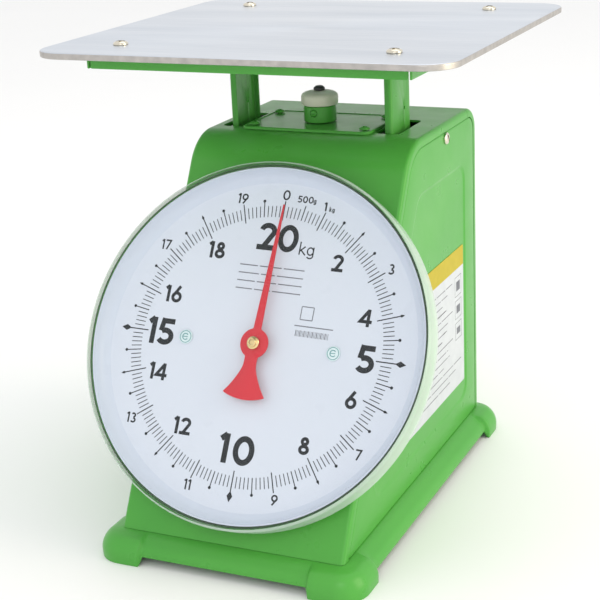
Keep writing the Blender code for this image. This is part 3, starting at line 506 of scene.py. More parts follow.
def base_stations(half_x, half_y):
    """Stations round the housing's foot line: place, outward direction, and foot weight."""
    radius = 0.004
    change = 0.0030                     # each foot swells out of the skirt over this length
    stations = []
    for sx, sy in ((1, 1), (1, -1), (-1, -1), (-1, 1)):
        first = []
        second = []
        along = [FOOT_LENGTH + 0.008]
        along += [FOOT_LENGTH + change * (1 - 2 * k / 8) / 2 for k in range(9)]
        along += [0.014, 0.009]
        for back in along:
            weight = 1 - smoothstep(FOOT_LENGTH - change / 2, FOOT_LENGTH + change / 2, back)
            first.append((half_x - back, half_y, 0, 1, weight))
            second.append((half_x, half_y - back, 1, 0, weight))
        second.reverse()
        arc = []
        for k in range(17):
            a = math.pi / 2 * (1 - k / 16)
            arc.append((half_x - radius + radius * math.cos(a), half_y - radius + radius * math.sin(a),
                        math.cos(a), math.sin(a), 1.0))
        placed = [(sx * x, sy * y, sx * nx, sy * ny, w) for x, y, nx, ny, w in first + arc + second]
        if sx != sy:
            placed.reverse()
        stations += placed
    return stations


def make_base():
    """Pressed base: cove, skirt, and a hollow foot swelling out of each corner."""
    front = face_y(BASE_FLOOR)
    centre_y = (front + HOUSING_REAR) / 2
    half_y = (HOUSING_REAR - front) / 2
    skirt = spline([(0.0, 0.0180), (0.0034, 0.0166), (0.0068, 0.0143), (0.0098, 0.0120),
                    (0.0117, 0.0090), (0.0121, 0.0062)], 4)
    foot = spline([(0.0, 0.0180), (0.0042, 0.0172), (0.0090, 0.0158), (0.0128, 0.0122),
                   (0.0151, 0.0066), (0.0150, 0.0)], 4)
    last = len(skirt) - 1
    outer = [[] for _ in skirt]
    inner = [[] for _ in skirt]
    for x, y, nx, ny, weight in base_stations(HOUSING_HALF_WIDTH, half_y):
        for row, (a, b) in enumerate(zip(skirt, foot)):
            reach, height = a.lerp(b, weight)
            outer[row].append((x + nx * reach, centre_y + y + ny * reach, height))
            slope = min(2 * row / last, 1.0)
            drop = BASE_WALL * (1 - slope)
            reach -= BASE_WALL * slope + 0.0006 * (1 - slope)
            inner[row].append((x + nx * reach, centre_y + y + ny * reach, height - drop))
    base = make_object("base_pressing", loft(outer + list(reversed(inner))), place(HOUSING_X, 0, 0), 50)
    finish_piece(base, MATERIALS["green"], "chassis", "green_enamel", "base")


# ---- housing ------------------------------------------------------------------------------

def channel_section():
    """Section of a bent cover, (x, depth behind the outer skin), round its outline."""
    half = HOUSING_HALF_WIDTH
    steps = 8
    tight = EDGE_RADIUS - SHEET
    turn = [math.pi / 2 * k / steps for k in range(steps + 1)]
    corner = [(half - EDGE_RADIUS + EDGE_RADIUS * math.cos(a), EDGE_RADIUS - EDGE_RADIUS * math.sin(a))
              for a in turn]
    inner = [(half - EDGE_RADIUS + tight * math.cos(a), EDGE_RADIUS - tight * math.sin(a))
             for a in reversed(turn)]
    right = [(half, SIDE_FLANGE)] + corner
    right_inner = inner + [(half - SHEET, SIDE_FLANGE)]
    left = [(-x, d) for x, d in reversed(right)]
    left_inner = [(-x, d) for x, d in reversed(right_inner)]
    return right + left + left_inner + right_inner


def sweep_cover(name, stations):
    """Bends the channel section along (y, z, normal y, normal z) stations."""
    section = channel_section()
    loops = [[(HOUSING_X + x, y - ny * depth, z - nz * depth) for x, depth in section]
             for y, z, ny, nz in stations]
    return make_object(name, loft(loops))


def slot_cutter(x, y_front, y_rear, half_width, low, high):
    """A cutter for a slot with rounded corners, through the top."""
    corners = [(x - half_width, y_front), (x + half_width, y_front),
               (x + half_width, y_rear), (x - half_width, y_rear)]
    outline = rounded_outline(corners, [0.004] * 4, 6)
    return make_object("cutter", loft([[(p.x, p.y, z) for p in outline] for z in (low, high)]))


def make_front_top_cover():
    """One bent sheet: the sloping front, the wide bend and the top, with flanges down its sides."""
    reach = FRONT_BEND * math.tan((math.pi / 2 - FACE_TILT) / 2)
    centre = (FACE_TOP_Y + reach, HOUSING_TOP - FRONT_BEND)
    stations = [(face_y(HOUSING_BOTTOM), HOUSING_BOTTOM, -math.cos(FACE_TILT), math.sin(FACE_TILT))]
    steps = 28
    for k in range(steps + 1):
        a = FACE_TILT + (math.pi / 2 - FACE_TILT) * k / steps
        stations.append((centre[0] - FRONT_BEND * math.cos(a), centre[1] + FRONT_BEND * math.sin(a),
                         -math.cos(a), math.sin(a)))
    stations.append((COVER_SPLIT_Y, HOUSING_TOP, 0.0, 1.0))
    cover = sweep_cover("front_cover_sheet", stations)
    cutters = [make_object("cutter", box_mesh((-0.1, -0.2, 0.0), (0.12, 0.0, HOUSING_BOTTOM)))]
    for x in (-0.0575, 0.0575):
        cutters.append(slot_cutter(x, 0.0115, 0.0585, 0.0085, 0.240, 0.260))
    cutters.append(rod(0.0085, 0.02, place(0, LOAD_Y, HOUSING_TOP)))
    cutters.append(rod(0.006, 0.02, DIAL_FRAME @ place(0, 0, -0.009)))
    for x, y in PLATE_SCREWS:
        cutters.append(rod(0.0019, 0.02, place(x, y, HOUSING_TOP)))
    for x in (-SEAL_X, SEAL_X):
        cutters.append(rod(0.0019, 0.01, DIAL_FRAME @ place(x, 0, -0.009)))
    for up in (-0.022, 0.022):
        cutters.append(rod(0.0019, 0.01, DIAL_FRAME @ place(-0.004, up, -0.009)))
    carve(cover, cutters)
    finish_piece(cover, MATERIALS["green"], "chassis", "green_enamel", "front_top_cover")


def make_rear_cover():
    """Bent sheet over the rear edge and down the back."""
    centre = (HOUSING_REAR - REAR_BEND, HOUSING_TOP - REAR_BEND)
    stations = [(COVER_SPLIT_Y + GAP, HOUSING_TOP, 0.0, 1.0)]
    steps = 20
    for k in range(steps + 1):
        a = math.pi / 2 * (1 - k / steps)
        ny, nz = math.cos(a), math.sin(a)
        stations.append((centre[0] + REAR_BEND * ny, centre[1] + REAR_BEND * nz, ny, nz))
    stations.append((HOUSING_REAR, HOUSING_BOTTOM, 1.0, 0.0))
    cover = sweep_cover("rear_cover_sheet", stations)
    finish_piece(cover, MATERIALS["green"], "chassis", "green_enamel", "rear_cover")


def side_profile(inset, bottom_inset, field=False):
    """Outline of the housing's side or of its field, (y, z), inset from its edges."""
    corners = [(face_y(HOUSING_BOTTOM), HOUSING_BOTTOM), (FACE_TOP_Y, HOUSING_TOP),
               (HOUSING_REAR, HOUSING_TOP), (HOUSING_REAR, HOUSING_BOTTOM)]
    if field:
        corners = inset_corners(corners, [margin + inset for margin in FIELD_MARGINS])
        return rounded_outline(corners, FIELD_CORNERS, 12)
    corners = inset_corners(corners, (inset, inset, inset, bottom_inset))
    return rounded_outline(corners, [0.002, FRONT_BEND - inset, REAR_BEND - inset, 0.002], 12)


def make_side_panel(side, word):
    """Pressed side lid: rolled rim, flat border, and a field pressed in with soft shoulders."""
    edge = SIDE_FLANGE + GAP
    half = HOUSING_HALF_WIDTH
    rim_depth = 0.008
    rim_radius = 0.0012
    wall = 0.0011
    levels = [(side_profile(edge, 0.0), half - rim_depth)]
    for k in range(6):
        a = math.pi / 2 * k / 5
        inset = rim_radius * (1 - math.cos(a))
        levels.append((side_profile(edge + inset, inset), half - rim_radius + rim_radius * math.sin(a)))
    shoulder = 10
    for k in range(shoulder + 1):
        t = k / shoulder
        levels.append((side_profile(0.003 * t, 0.0, True), half - FIELD_DEPTH * smoothstep(0, 1, t)))
    inner = [
        (side_profile(0.003, 0.0, True), half - FIELD_DEPTH - wall),
        (side_profile(0.0, 0.0, True), half - wall),
        (side_profile(edge + 2 * rim_radius, 2 * rim_radius), half - wall),
        (side_profile(edge + wall, wall), half - 2 * rim_radius),
        (side_profile(edge + wall, wall), half - rim_depth),
    ]
    loops = [[(HOUSING_X + side * x, p.x, p.y) for p in outline] for outline, x in levels + inner]
    outer_count = len(levels)
    bm = bmesh.new()
    rows = [[bm.verts.new(point) for point in loop] for loop in loops]
    count = len(rows[0])
    pairs = list(zip(rows[:outer_count], rows[1:outer_count]))
    pairs += list(zip(rows[outer_count:], rows[outer_count + 1:])) + [(rows[-1], rows[0])]
    for low, high in pairs:
        for i in range(count):
            j = (i + 1) % count
            bm.faces.new((low[i], low[j], high[j], high[i]))
    bm.faces.new(rows[outer_count - 1])
    bm.faces.new(rows[outer_count])
    panel = make_object(f"{word}_side_lid", bm)
    y, z = SIDE_SCREW
    carve(panel, [rod(0.0022, 0.01, place(HOUSING_X + side * half, y, z) @ ALONG_X)])
    finish_piece(panel, MATERIALS["green"], "chassis", "green_enamel", f"{word}_side_panel")
    turn = ALONG_X if side > 0 else Matrix.Rotation(-math.pi / 2, 4, "Y")
    spot = place(HOUSING_X + side * (half + 0.0002), y, z) @ turn @ Matrix.Rotation(0.35, 4, "Z")
    make_screw(f"{word}_side_lid_screw", spot, 0.0042, 0.0022, 0.0019, 0.009, "nickel", "nickel", "chassis",
               f"{word}_side_screw")


def make_screw(name, spot, head, height, shank, length, look, slot, body, node, crossed=True):
    """Domed screw with a cross or a straight slot cut in its head."""
    profile = [(0.0, -length), (shank, -length), (shank, 0.0), (head, 0.0), (head, 0.25 * height)]
    steps = 8
    for k in range(1, steps):
        a = math.pi / 2 * k / steps
        profile.append((head * math.cos(a), height * (0.25 + 0.75 * math.sin(a))))
    profile.append((0.0, height))
    screw = make_object(name, lathe(profile, 40), spot)
    width = 0.16 * head
    reach = 0.62 * head if crossed else 1.1 * head
    floor = 0.45 * height
    cutters = []
    for quarter in range(2 if crossed else 1):
        bar = box_mesh((-reach, -width, floor), (reach, width, 2 * height))
        cutters.append(make_object("cutter", bar, spot @ Matrix.Rotation(quarter * math.pi / 2, 4, "Z")))
    carve(screw, cutters)
    finish_piece(screw, MATERIALS[look], body, slot, node)


def make_side_label():
    """Film label with plain printed rules in place of any wording."""
    face = HOUSING_X + HOUSING_HALF_WIDTH - FIELD_DEPTH + 0.0001
    thick = 0.0002
    corners = [(LABEL_FRONT, LABEL_BOTTOM), (LABEL_FRONT, LABEL_TOP),
               (LABEL_REAR, LABEL_TOP), (LABEL_REAR, LABEL_BOTTOM)]
    outline = rounded_outline(corners, [0.0015] * 4, 4)
    label = make_object("label_film", loft([[(face + d, p.x, p.y) for p in outline] for d in (0.0, thick)]))
    finish_piece(label, MATERIALS["label"], "chassis", "label_film", "side_label")
    bm = bmesh.new()
    row = 0
    height = LABEL_HEADER - 0.008
    while height > LABEL_BOTTOM + 0.006:
        end = LABEL_REAR - 0.024 if height > 0.085 else LABEL_REAR - 0.006
        start = LABEL_FRONT + 0.006
        cuts = [0.27, 0.61, 0.83] if row % 3 == 0 else ([0.38, 0.72] if row % 3 == 1 else [0.19, 0.52])
        marks = [0.0] + cuts + [1.0 - 0.12 * (row % 4)]
        for a, b in zip(marks, marks[1:]):
            y0 = start + (end - start) * a + 0.001
            y1 = start + (end - start) * b - 0.001
            add_slab(bm, face + thick, y0, y1, height - 0.0003, height + 0.0003)
        height -= 0.0052
        row += 1
    for low, high in ((0.121, 0.136), (0.104, 0.118), (0.088, 0.101)):
        y0, y1 = LABEL_REAR - 0.019, LABEL_REAR - 0.005
        for a, b, c, d in ((y0 + 0.003, y1 - 0.003, low + 0.004, high - 0.004),
                           (y0, y1, low, low + 0.0004), (y0, y1, high - 0.0004, high),
                           (y0, y0 + 0.0004, low, high), (y1 - 0.0004, y1, low, high)):
            add_slab(bm, face + thick, a, b, c, d)
    rules = make_object("label_rules", bm, smooth=0)
    finish_piece(rules, MATERIALS["faint_ink"], "chassis", "label_film")


def add_slab(bm, x, y0, y1, z0, z1):
    """Adds a printed bar, closed and a few hundredths of a millimetre thick, on a face at x."""
    slab = box_mesh((x - 0.00002, y0, z0), (x + 0.00003, y1, z1))
    mesh = bpy.data.meshes.new("slab")
    slab.to_mesh(mesh)
    slab.free()
    bm.from_mesh(mesh)
    bpy.data.meshes.remove(mesh)


# ---- top plate and zero adjuster ------------------------------------------------------------

def make_top_plate():
    """Plate with a low raised rim, and its four green screws."""
    corners = [(-0.0475, LOAD_Y - 0.0295), (0.0475, LOAD_Y - 0.0295), (0.0475, LOAD_Y + 0.0305),
               (-0.0475, LOAD_Y + 0.0305)]
    bottom = HOUSING_TOP + GAP
    full = rounded_outline(corners, [0.006] * 4)
    loops = [[(p.x, p.y, bottom) for p in full], [(p.x, p.y, bottom + 0.0010) for p in full]]
    for k in range(1, 6):
        a = math.pi / 2 * k / 5
        inset = 0.0008 * (1 - math.cos(a))
        ring = rounded_outline(inset_corners(corners, [inset] * 4), [0.006 - inset] * 4)
        loops.append([(p.x, p.y, bottom + 0.0010 + 0.0008 * math.sin(a)) for p in ring])
    plate = make_object("adjuster_plate", loft(loops))
    cutters = [rod(0.0045, 0.02, place(0, LOAD_Y, HOUSING_TOP))]
    for x, y in PLATE_SCREWS:
        cutters.append(rod(0.0019, 0.02, place(x, y, HOUSING_TOP)))
    pan = rounded_outline(inset_corners(corners, [0.0022] * 4), [0.004] * 4)
    floor = PLATE_TOP - 0.0005
    pan_loops = [[(p.x, p.y, z) for p in pan] for z in (floor, PLATE_TOP + 0.001)]
    cutters.append(make_object("cutter", loft(pan_loops)))
    carve(plate, cutters)
    finish_piece(plate, MATERIALS["green"], "chassis", "green_enamel", "top_plate")
    for i, (x, y) in enumerate(PLATE_SCREWS):
        spot = place(x, y, PLATE_TOP + 0.0002) @ Matrix.Rotation(0.5 + i, 4, "Z")
        make_screw(f"adjuster_plate_screw_{i + 1}", spot, 0.0037, 0.0019, 0.0016, 0.008, "green",
                   "green_enamel", "chassis", f"top_plate_screw_{i + 1}")


def make_zero_adjuster():
    """Collar with its set screw, and the ivory knob with a black finial."""
    collar_top = 0.2665
    radius = 0.0113
    low = PLATE_TOP + GAP
    profile = [(0.0036, low), (radius - 0.0003, low), (radius, low + 0.0003), (radius, collar_top - 0.0008)]
    for k in range(1, 6):
        a = math.pi / 2 * k / 5
        profile.append((radius - 0.0008 * (1 - math.cos(a)), collar_top - 0.0008 * (1 - math.sin(a))))
    profile.append((0.0036, collar_top))
    collar = make_object("zero_collar_turned", lathe(profile), place(0, LOAD_Y, 0))
    set_place = place(0, LOAD_Y - 0.0107, 0.2622) @ FACING_FRONT
    carve(collar, [rod(0.0027, 0.006, set_place)])
    finish_piece(collar, MATERIALS["green"], "chassis", "green_enamel", "zero_collar")
    make_screw("zero_collar_set_screw", set_place, 0.0024, 0.0016, 0.0021, 0.0020, "green", "green_enamel",
               "chassis", "zero_set_screw", crossed=False)

    knob_low = collar_top + GAP
    crown = spline([(0.0129, 0.2722), (0.0125, 0.2737), (0.0110, 0.2750), (0.0080, 0.2759),
                    (0.0034, 0.2765)], 5)
    knob_profile = [(0.0034, knob_low), (0.0117, knob_low), (0.0124, knob_low + 0.0004),
                    (0.0128, knob_low + 0.0014)] + [(p.x, p.y) for p in crown]
    knob = make_object("zero_knob_moulded", lathe(knob_profile, 128), place(0, LOAD_Y, 0))
    finish_piece(knob, MATERIALS["ivory"], "zero_knob", "ivory_plastic", "zero_knob")
    finial = [(0.0, 0.2740), (0.0030, 0.2740), (0.0030, 0.2767), (0.0039, 0.2768), (0.0040, 0.2778),
              (0.0037, 0.2786), (0.0030, 0.2790), (0.0027, 0.2794), (0.0019, 0.2797), (0.0, 0.2797)]
    cap = make_object("zero_knob_finial", lathe(finial, 48), place(0, LOAD_Y, 0))
    finish_piece(cap, MATERIALS["black"], "zero_knob", "black_plastic", "zero_knob_screw")


def make_spring(word, side):
    """Extension spring of round wire, in the place of the CAD helix."""
    wire, radius, turns, per_turn, sides = 0.0013, 0.0077, 9, 40, 14
    low, high = 0.0977 + wire, 0.2045 - wire
    steps = turns * per_turn
    rise = (high - low) / (2 * math.pi * turns)
    loops = []
    for k in range(steps + 1):
        a = 2 * math.pi * k / per_turn
        outward = Vector((math.cos(a), math.sin(a), 0))
        along = Vector((-math.sin(a) * radius, math.cos(a) * radius, rise)).normalized()
        up = along.cross(outward)
        middle = outward * radius + Vector((side * 0.026, LOAD_Y, low + (high - low) * k / steps))
        turn = [2 * math.pi * s / sides for s in range(sides)]
        loops.append([middle + wire * (math.cos(b) * outward + math.sin(b) * up) for b in turn])
    spring = make_object(f"{word}_spring_coil", loft(loops))
    finish_piece(spring, MATERIALS["spring"], "spring_hanger", "spring_steel", f"{word}_spring")


# ---- load frame -------------------------------------------------------------------------------

def make_leg(side, word):
    """Channel leg with rounded bends, and two small holes through its web."""
    front, rear = LOAD_Y - LEG_DEPTH / 2, LOAD_Y + LEG_DEPTH / 2
    bend = 0.0022
    steps = 6
    turn = [math.pi / 2 * k / steps for k in range(steps + 1)]
    tight = bend - SHEET
    back = LEG_OUTER_X - bend
    low_corner = [(back + bend * math.sin(a), front + bend - bend * math.cos(a)) for a in turn]
    high_corner = [(back + bend * math.cos(a), rear - bend + bend * math.sin(a)) for a in turn]
    inner_high = [(back + tight * math.cos(a), rear - bend + tight * math.sin(a)) for a in turn]
    inner_low = [(back + tight * math.sin(a), front + bend - tight * math.cos(a)) for a in turn]
    section = [(LEG_INNER_X, front)] + low_corner + high_corner + [(LEG_INNER_X, rear)]
    section += [(LEG_INNER_X, rear - SHEET)] + list(reversed(inner_high)) + list(reversed(inner_low))
    section += [(LEG_INNER_X, front + SHEET)]
    loops = [[(side * x, y, z) for x, y in section] for z in (0.082, FRAME_BOTTOM - GAP)]
    leg = make_object(f"{word}_leg_channel", loft(loops))
    carve(leg, [rod(0.0013, 0.02, place(side * LEG_OUTER_X, y, z) @ ALONG_X) for y, z in LEG_HOLES])
    round_edges(leg, 0.0002, 2)
    finish_piece(leg, MATERIALS["green"], "load_frame", "green_enamel", f"{word}_leg")


def grid_solid(xs, ys, zs, filled):
    """A closed solid of the grid cells for which filled(i, j, k) is true."""
    bm = bmesh.new()
    corners = {}
    sizes = (len(xs) - 1, len(ys) - 1, len(zs) - 1)

    def corner(i, j, k):
        if (i, j, k) not in corners:
            corners[(i, j, k)] = bm.verts.new((xs[i], ys[j], zs[k]))
        return corners[(i, j, k)]

    def solid(cell):
        return all(0 <= c < n for c, n in zip(cell, sizes)) and filled(*cell)

    cells = [(i, j, k) for i in range(sizes[0]) for j in range(sizes[1]) for k in range(sizes[2])]
    for cell in filter(solid, cells):
        for axis in range(3):
            for side in (0, 1):
                beside = list(cell)
                beside[axis] += 1 if side else -1
                if solid(tuple(beside)):
                    continue
                base = list(cell)
                base[axis] += side
                quad = []
                for u, v in ((0, 0), (1, 0), (1, 1), (0, 1)):
                    spot = list(base)
                    spot[(axis + 1) % 3] += u
                    spot[(axis + 2) % 3] += v
                    quad.append(corner(*spot))
                bm.faces.new(quad)
    return bm


def make_tray_frame():
    """Folded frame under the tray, its corners notched where the flanges meet."""
    x, y = FRAME_HALF_X, FRAME_HALF_Y
    web = 0.0016
    notch = 0.0012
    xs = (-x, -x + SHEET, -x + SHEET + notch, -0.0865, -0.066, -0.050, 0.050, 0.066, 0.0865,
          x - SHEET - notch, x - SHEET, x)
    ys = (LOAD_Y - y, LOAD_Y - y + SHEET, LOAD_Y - 0.086, LOAD_Y + 0.086, LOAD_Y + y - SHEET, LOAD_Y + y)
    zs = (FRAME_BOTTOM, FRAME_TOP - web, FRAME_TOP)
    last = len(xs) - 2

    def filled(i, j, k):
        window = j == 2 and i in (3, 5, 7)
        if k == 1:
            return not window
        if i in (1, last - 1) and j in (0, 4):
            return False
        return i in (0, last) or j in (0, 4) or (i in (4, 6) and j in (1, 2, 3))

    beam = make_object("tray_frame_folded", grid_solid(xs, ys, zs, filled))
    carve(beam, [rod(0.0022, 0.01, place(sx, sy, FRAME_TOP)) for sx, sy in TRAY_SCREWS])
    round_edges(beam, 0.0006, 3)
    finish_piece(beam, MATERIALS["green"], "load_frame", "green_enamel", "tray_frame")


def make_tray():
    """Stainless tray: flat sheet with rounded corners, its rim rolled down and under."""
    half_x, half_y = TRAY_WIDTH / 2, TRAY_DEPTH / 2
    rim = 0.0042
    roll = 0.0012
    middle_x, middle_y = TRAY_MIDDLE
    corners = [(middle_x + sx * half_x, middle_y + sy * half_y)
               for sx, sy in ((-1, -1), (1, -1), (1, 1), (-1, 1))]

    def outline(inset, z):
        points = rounded_outline(inset_corners(corners, [inset] * 4), [TRAY_CORNER - inset] * 4, 20)
        return [(p.x, p.y, z) for p in points]

    loops = [outline(0.012, TRAY_TOP), outline(0.004, TRAY_TOP)]
    for k in range(7):
        a = math.pi / 2 * k / 6
        loops.append(outline(roll * (1 - math.sin(a)), TRAY_TOP - roll * (1 - math.cos(a))))
    low = TRAY_TOP - rim
    for k in range(1, 7):
        a = math.pi * k / 6
        loops.append(outline(SHEET / 2 * (1 - math.cos(a)), low + 0.0007 - 0.0007 * math.sin(a)))
    loops.append(outline(SHEET, TRAY_TOP - SHEET))
    tray = make_object("tray_sheet", loft(loops))
    carve(tray, [rod(0.0022, 0.01, place(x, y, TRAY_TOP)) for x, y in TRAY_SCREWS])
    finish_piece(tray, MATERIALS["stainless"], "load_frame", "stainless_steel", "tray")
    # The sides and underside of the rolled rim take the darker painted shade.
    tray.data.materials.append(MATERIALS["hem_shade"])
    for polygon in tray.data.polygons:
        beside = abs(polygon.normal.z) < 0.8
        if beside and polygon.center.z < TRAY_TOP - 0.0004:
            polygon.material_index = 1
    for i, (x, y) in enumerate(TRAY_SCREWS):
        spot = place(x, y, TRAY_TOP + 0.0002) @ Matrix.Rotation(0.4 + 1.3 * i, 4, "Z")
        make_screw(f"tray_dome_screw_{i + 1}", spot, 0.0050, 0.0026, 0.0019, 0.008, "nickel", "nickel",
                   "load_frame", f"tray_screw_{i + 1}")


# ---- dial -------------------------------------------------------------------------------------

def arc(cx, cy, rx, ry, start, end, steps=24):
    """Points on an ellipse from one angle to another, in degrees anticlockwise from +X."""
    turn = [math.radians(start + (end - start) * k / steps) for k in range(steps + 1)]
    return [(cx + rx * math.cos(a), cy + ry * math.sin(a)) for a in turn]


def glyph(character, w):
    """Strokes of one character as centre lines, and its width; its height is 1 and w its weight."""
    h = w / 2
    top, low = 1 - h, h
    if character == "0":
        return [arc(0.38, 0.5, 0.38 - h, 0.5 - h, 90, 450, 48)], 0.76
    if character == "1":
        return [[(0.22, 1.0), (0.22, 0.0)], [(0.015, 0.80), (0.21, 0.97)]], 0.22 + h
    if character == "2":
        bowl = arc(0.33, 0.70, 0.33 - h, 0.30 - h, 170, -35)
        return [bowl + [(0.10 + h, 0.03)], [(0.0, low), (0.68, low)]], 0.68
    if character == "3":
        upper = arc(0.29, 0.745, 0.26 - h, 0.255 - h, 150, -90)
        lower = arc(0.29, 0.275, 0.31 - h, 0.275 - h, 90, -150)
        return [upper, lower], 0.60
    if character == "4":
        return [[(0.52, 1.0), (0.52, 0.0)], [(0.52, 0.97), (0.06, 0.29), (0.74, 0.29)]], 0.74
    if character == "5":
        bowl = arc(0.28, 0.325, 0.36 - h, 0.325 - h, 125, -148)
        return [[(0.60, top), (0.14, top)], [(0.14 + 0.3 * h, 1.0), (0.09, 0.52)], bowl], 0.64
    if character in "69":
        ring = arc(0.335, 0.335, 0.335 - h, 0.335 - h, 90, 450, 40)
        strokes = [ring, [(0.50, 1.0), (0.06 + 0.6 * h, 0.40)]]
        if character == "9":
            strokes = [[(0.67 - x, 1 - y) for x, y in stroke] for stroke in strokes]
        return strokes, 0.67
    if character == "7":
        return [[(0.02, top), (0.56, top), (0.18, 0.0)]], 0.62
    if character == "8":
        upper = arc(0.32, 0.745, 0.25 - h, 0.255 - h, 0, 360, 36)
        lower = arc(0.32, 0.285, 0.32 - h, 0.285 - h, 0, 360, 36)
        return [upper, lower], 0.64
    if character == "k":
        return [[(h, 1.0), (h, 0.0)], [(0.46, 0.66), (h, 0.27)], [(0.16, 0.36), (0.52, 0.0)]], 0.50
    if character == "g":
        ring = arc(0.28, 0.33, 0.28 - h, 0.33 - h, 0, 360, 32)
        tail = [(0.56 - h, 0.66), (0.56 - h, 0.0)] + arc(0.28, -0.02, 0.28 - h, 0.24 - h, 0, -150, 16)
        return [ring, tail], 0.56
    raise ValueError(character)


def stroke_sides(points, weight):
    """The two sides of a stroke along its centre line, mitred at its corners."""
    closed = math.dist(points[0], points[-1]) < 1e-6
    count = len(points)
    left, right = [], []
    for i, point in enumerate(points):
        before = Vector(points[i - 1] if i else points[-2])
        after = Vector(points[i + 1] if i < count - 1 else points[1])
        here = Vector(point)
        first = (here - before).normalized() if i or closed else (after - here).normalized()
        second = (after - here).normalized() if i < count - 1 or closed else first
        middle = (first + second).normalized()
        normal = Vector((-middle.y, middle.x))
        reach = weight / 2 / max(middle.dot(first), 0.45)
        left.append(here + normal * reach)
        right.append(here - normal * reach)
    return left, right


def add_stroke(bm, points, weight, matrix, low, high):
    """Adds one closed printed stroke between two heights."""
    left, right = stroke_sides(points, weight)
    closed = math.dist(points[0], points[-1]) < 1e-6
    rows = []
    for a, b in zip(left, right):
        section = ((a.x, a.y, low), (b.x, b.y, low), (b.x, b.y, high), (a.x, a.y, high))
        rows.append([bm.verts.new(matrix @ Vector(p)) for p in section])
    if closed:
        for vert in rows.pop():
            bm.verts.remove(vert)
    pairs = list(zip(rows, rows[1:])) + ([(rows[-1], rows[0])] if closed else [])
    for first, second in pairs:
        for i in range(4):
            j = (i + 1) % 4
            bm.faces.new((first[i], first[j], second[j], second[i]))
    if not closed:
        bm.faces.new(list(reversed(rows[0])))
        bm.faces.new(rows[-1])


PRINT_LOW = 0.00002                     # print starts just above the dial's surface
PRINT_STEP = 0.00001                    # crossing strokes stand this far apart in height
PRINT_HIGH = PRINT_LOW + 0.00005


def add_text(bm, text, centre, height, weight, stretch=1.0, gap=0.10):
    """Adds characters side by side, centred on a place of the dial, in metres."""
    drawn = [glyph(character, weight) for character in text]
    total = sum(width for _, width in drawn) * stretch + gap * (len(drawn) - 1)
    x = -total / 2
    for strokes, width in drawn:
        for level, stroke in enumerate(strokes):
            points = [(centre[0] + height * (x + px * stretch), centre[1] + height * (py - 0.5))
                      for px, py in stroke]
            low = PRINT_LOW + level * PRINT_STEP
            add_stroke(bm, points, weight * height, Matrix.Identity(4), low, low + 0.00005)
        x += width * stretch + gap


def add_tick(bm, angle, start, end, width, low=PRINT_LOW):
    """Adds a radial line; the angle is clockwise from the top, in radians."""
    out = Vector((math.sin(angle), math.cos(angle)))
    add_stroke(bm, [tuple(out * start), tuple(out * end)], width, Matrix.Identity(4), low, low + 0.00005)


def add_disc(bm, angle, radius, size, sides=20, tips=None):
    """Adds a dot, or a long diamond where tips gives its inner and outer radius."""
    out = Vector((math.sin(angle), math.cos(angle), 0))
    across = Vector((out.y, -out.x, 0))
    middle = out * radius
    if tips:
        places = [out * tips[0], middle + across * size, out * tips[1], middle - across * size]
    else:
        turn = [2 * math.pi * k / sides for k in range(sides)]
        places = [middle + size * (math.cos(a) * across + math.sin(a) * out) for a in turn]
    low = PRINT_LOW + 2 * PRINT_STEP
    rows = [[bm.verts.new((p.x, p.y, z)) for p in places] for z in (low, low + 0.00005)]
    count = len(places)
    for i in range(count):
        j = (i + 1) % count
        bm.faces.new((rows[0][i], rows[0][j], rows[1][j], rows[1][i]))
    bm.faces.new(list(reversed(rows[0])))
    bm.faces.new(rows[1])


def make_graduations():
    """Two hundred 100 g divisions: plain, half-kilogram, kilogram and five-kilogram marks."""
    bm = bmesh.new()
    divisions = 200
    for k in range(divisions):
        angle = 2 * math.pi * k / divisions
        if k == 0:
            add_tick(bm, angle, 0.0832, 0.0962, 0.00075)
        elif k % 50 == 0:
            add_tick(bm, angle, 0.0817, 0.0958, 0.00075)
            add_disc(bm, angle, 0.0980, 0.0020, tips=(0.0945, 0.1018))
        elif k % 20 == 0:
            add_tick(bm, angle, 0.0817, 0.0985, 0.00070)
            add_disc(bm, angle, 0.0981, 0.00085)
            add_disc(bm, angle, 0.0985, 0.00075, tips=(0.0960, 0.1003))
        elif k % 10 == 0:
            add_tick(bm, angle, 0.0828, 0.0958, 0.00070)
        elif k == 5:
            add_tick(bm, angle, 0.0852, 0.0955, 0.00062)
        elif k % 5 == 0:
            add_tick(bm, angle, 0.0852, 0.0958, 0.00062)
            add_disc(bm, angle, 0.0961, 0.00100)
        else:
            add_tick(bm, angle, 0.0852, 0.0926, 0.00052)
    ticks = make_object("dial_graduations", bm, PRINT_FRAME, 0)
    finish_piece(ticks, MATERIALS["ink"], "chassis", "dial_white")


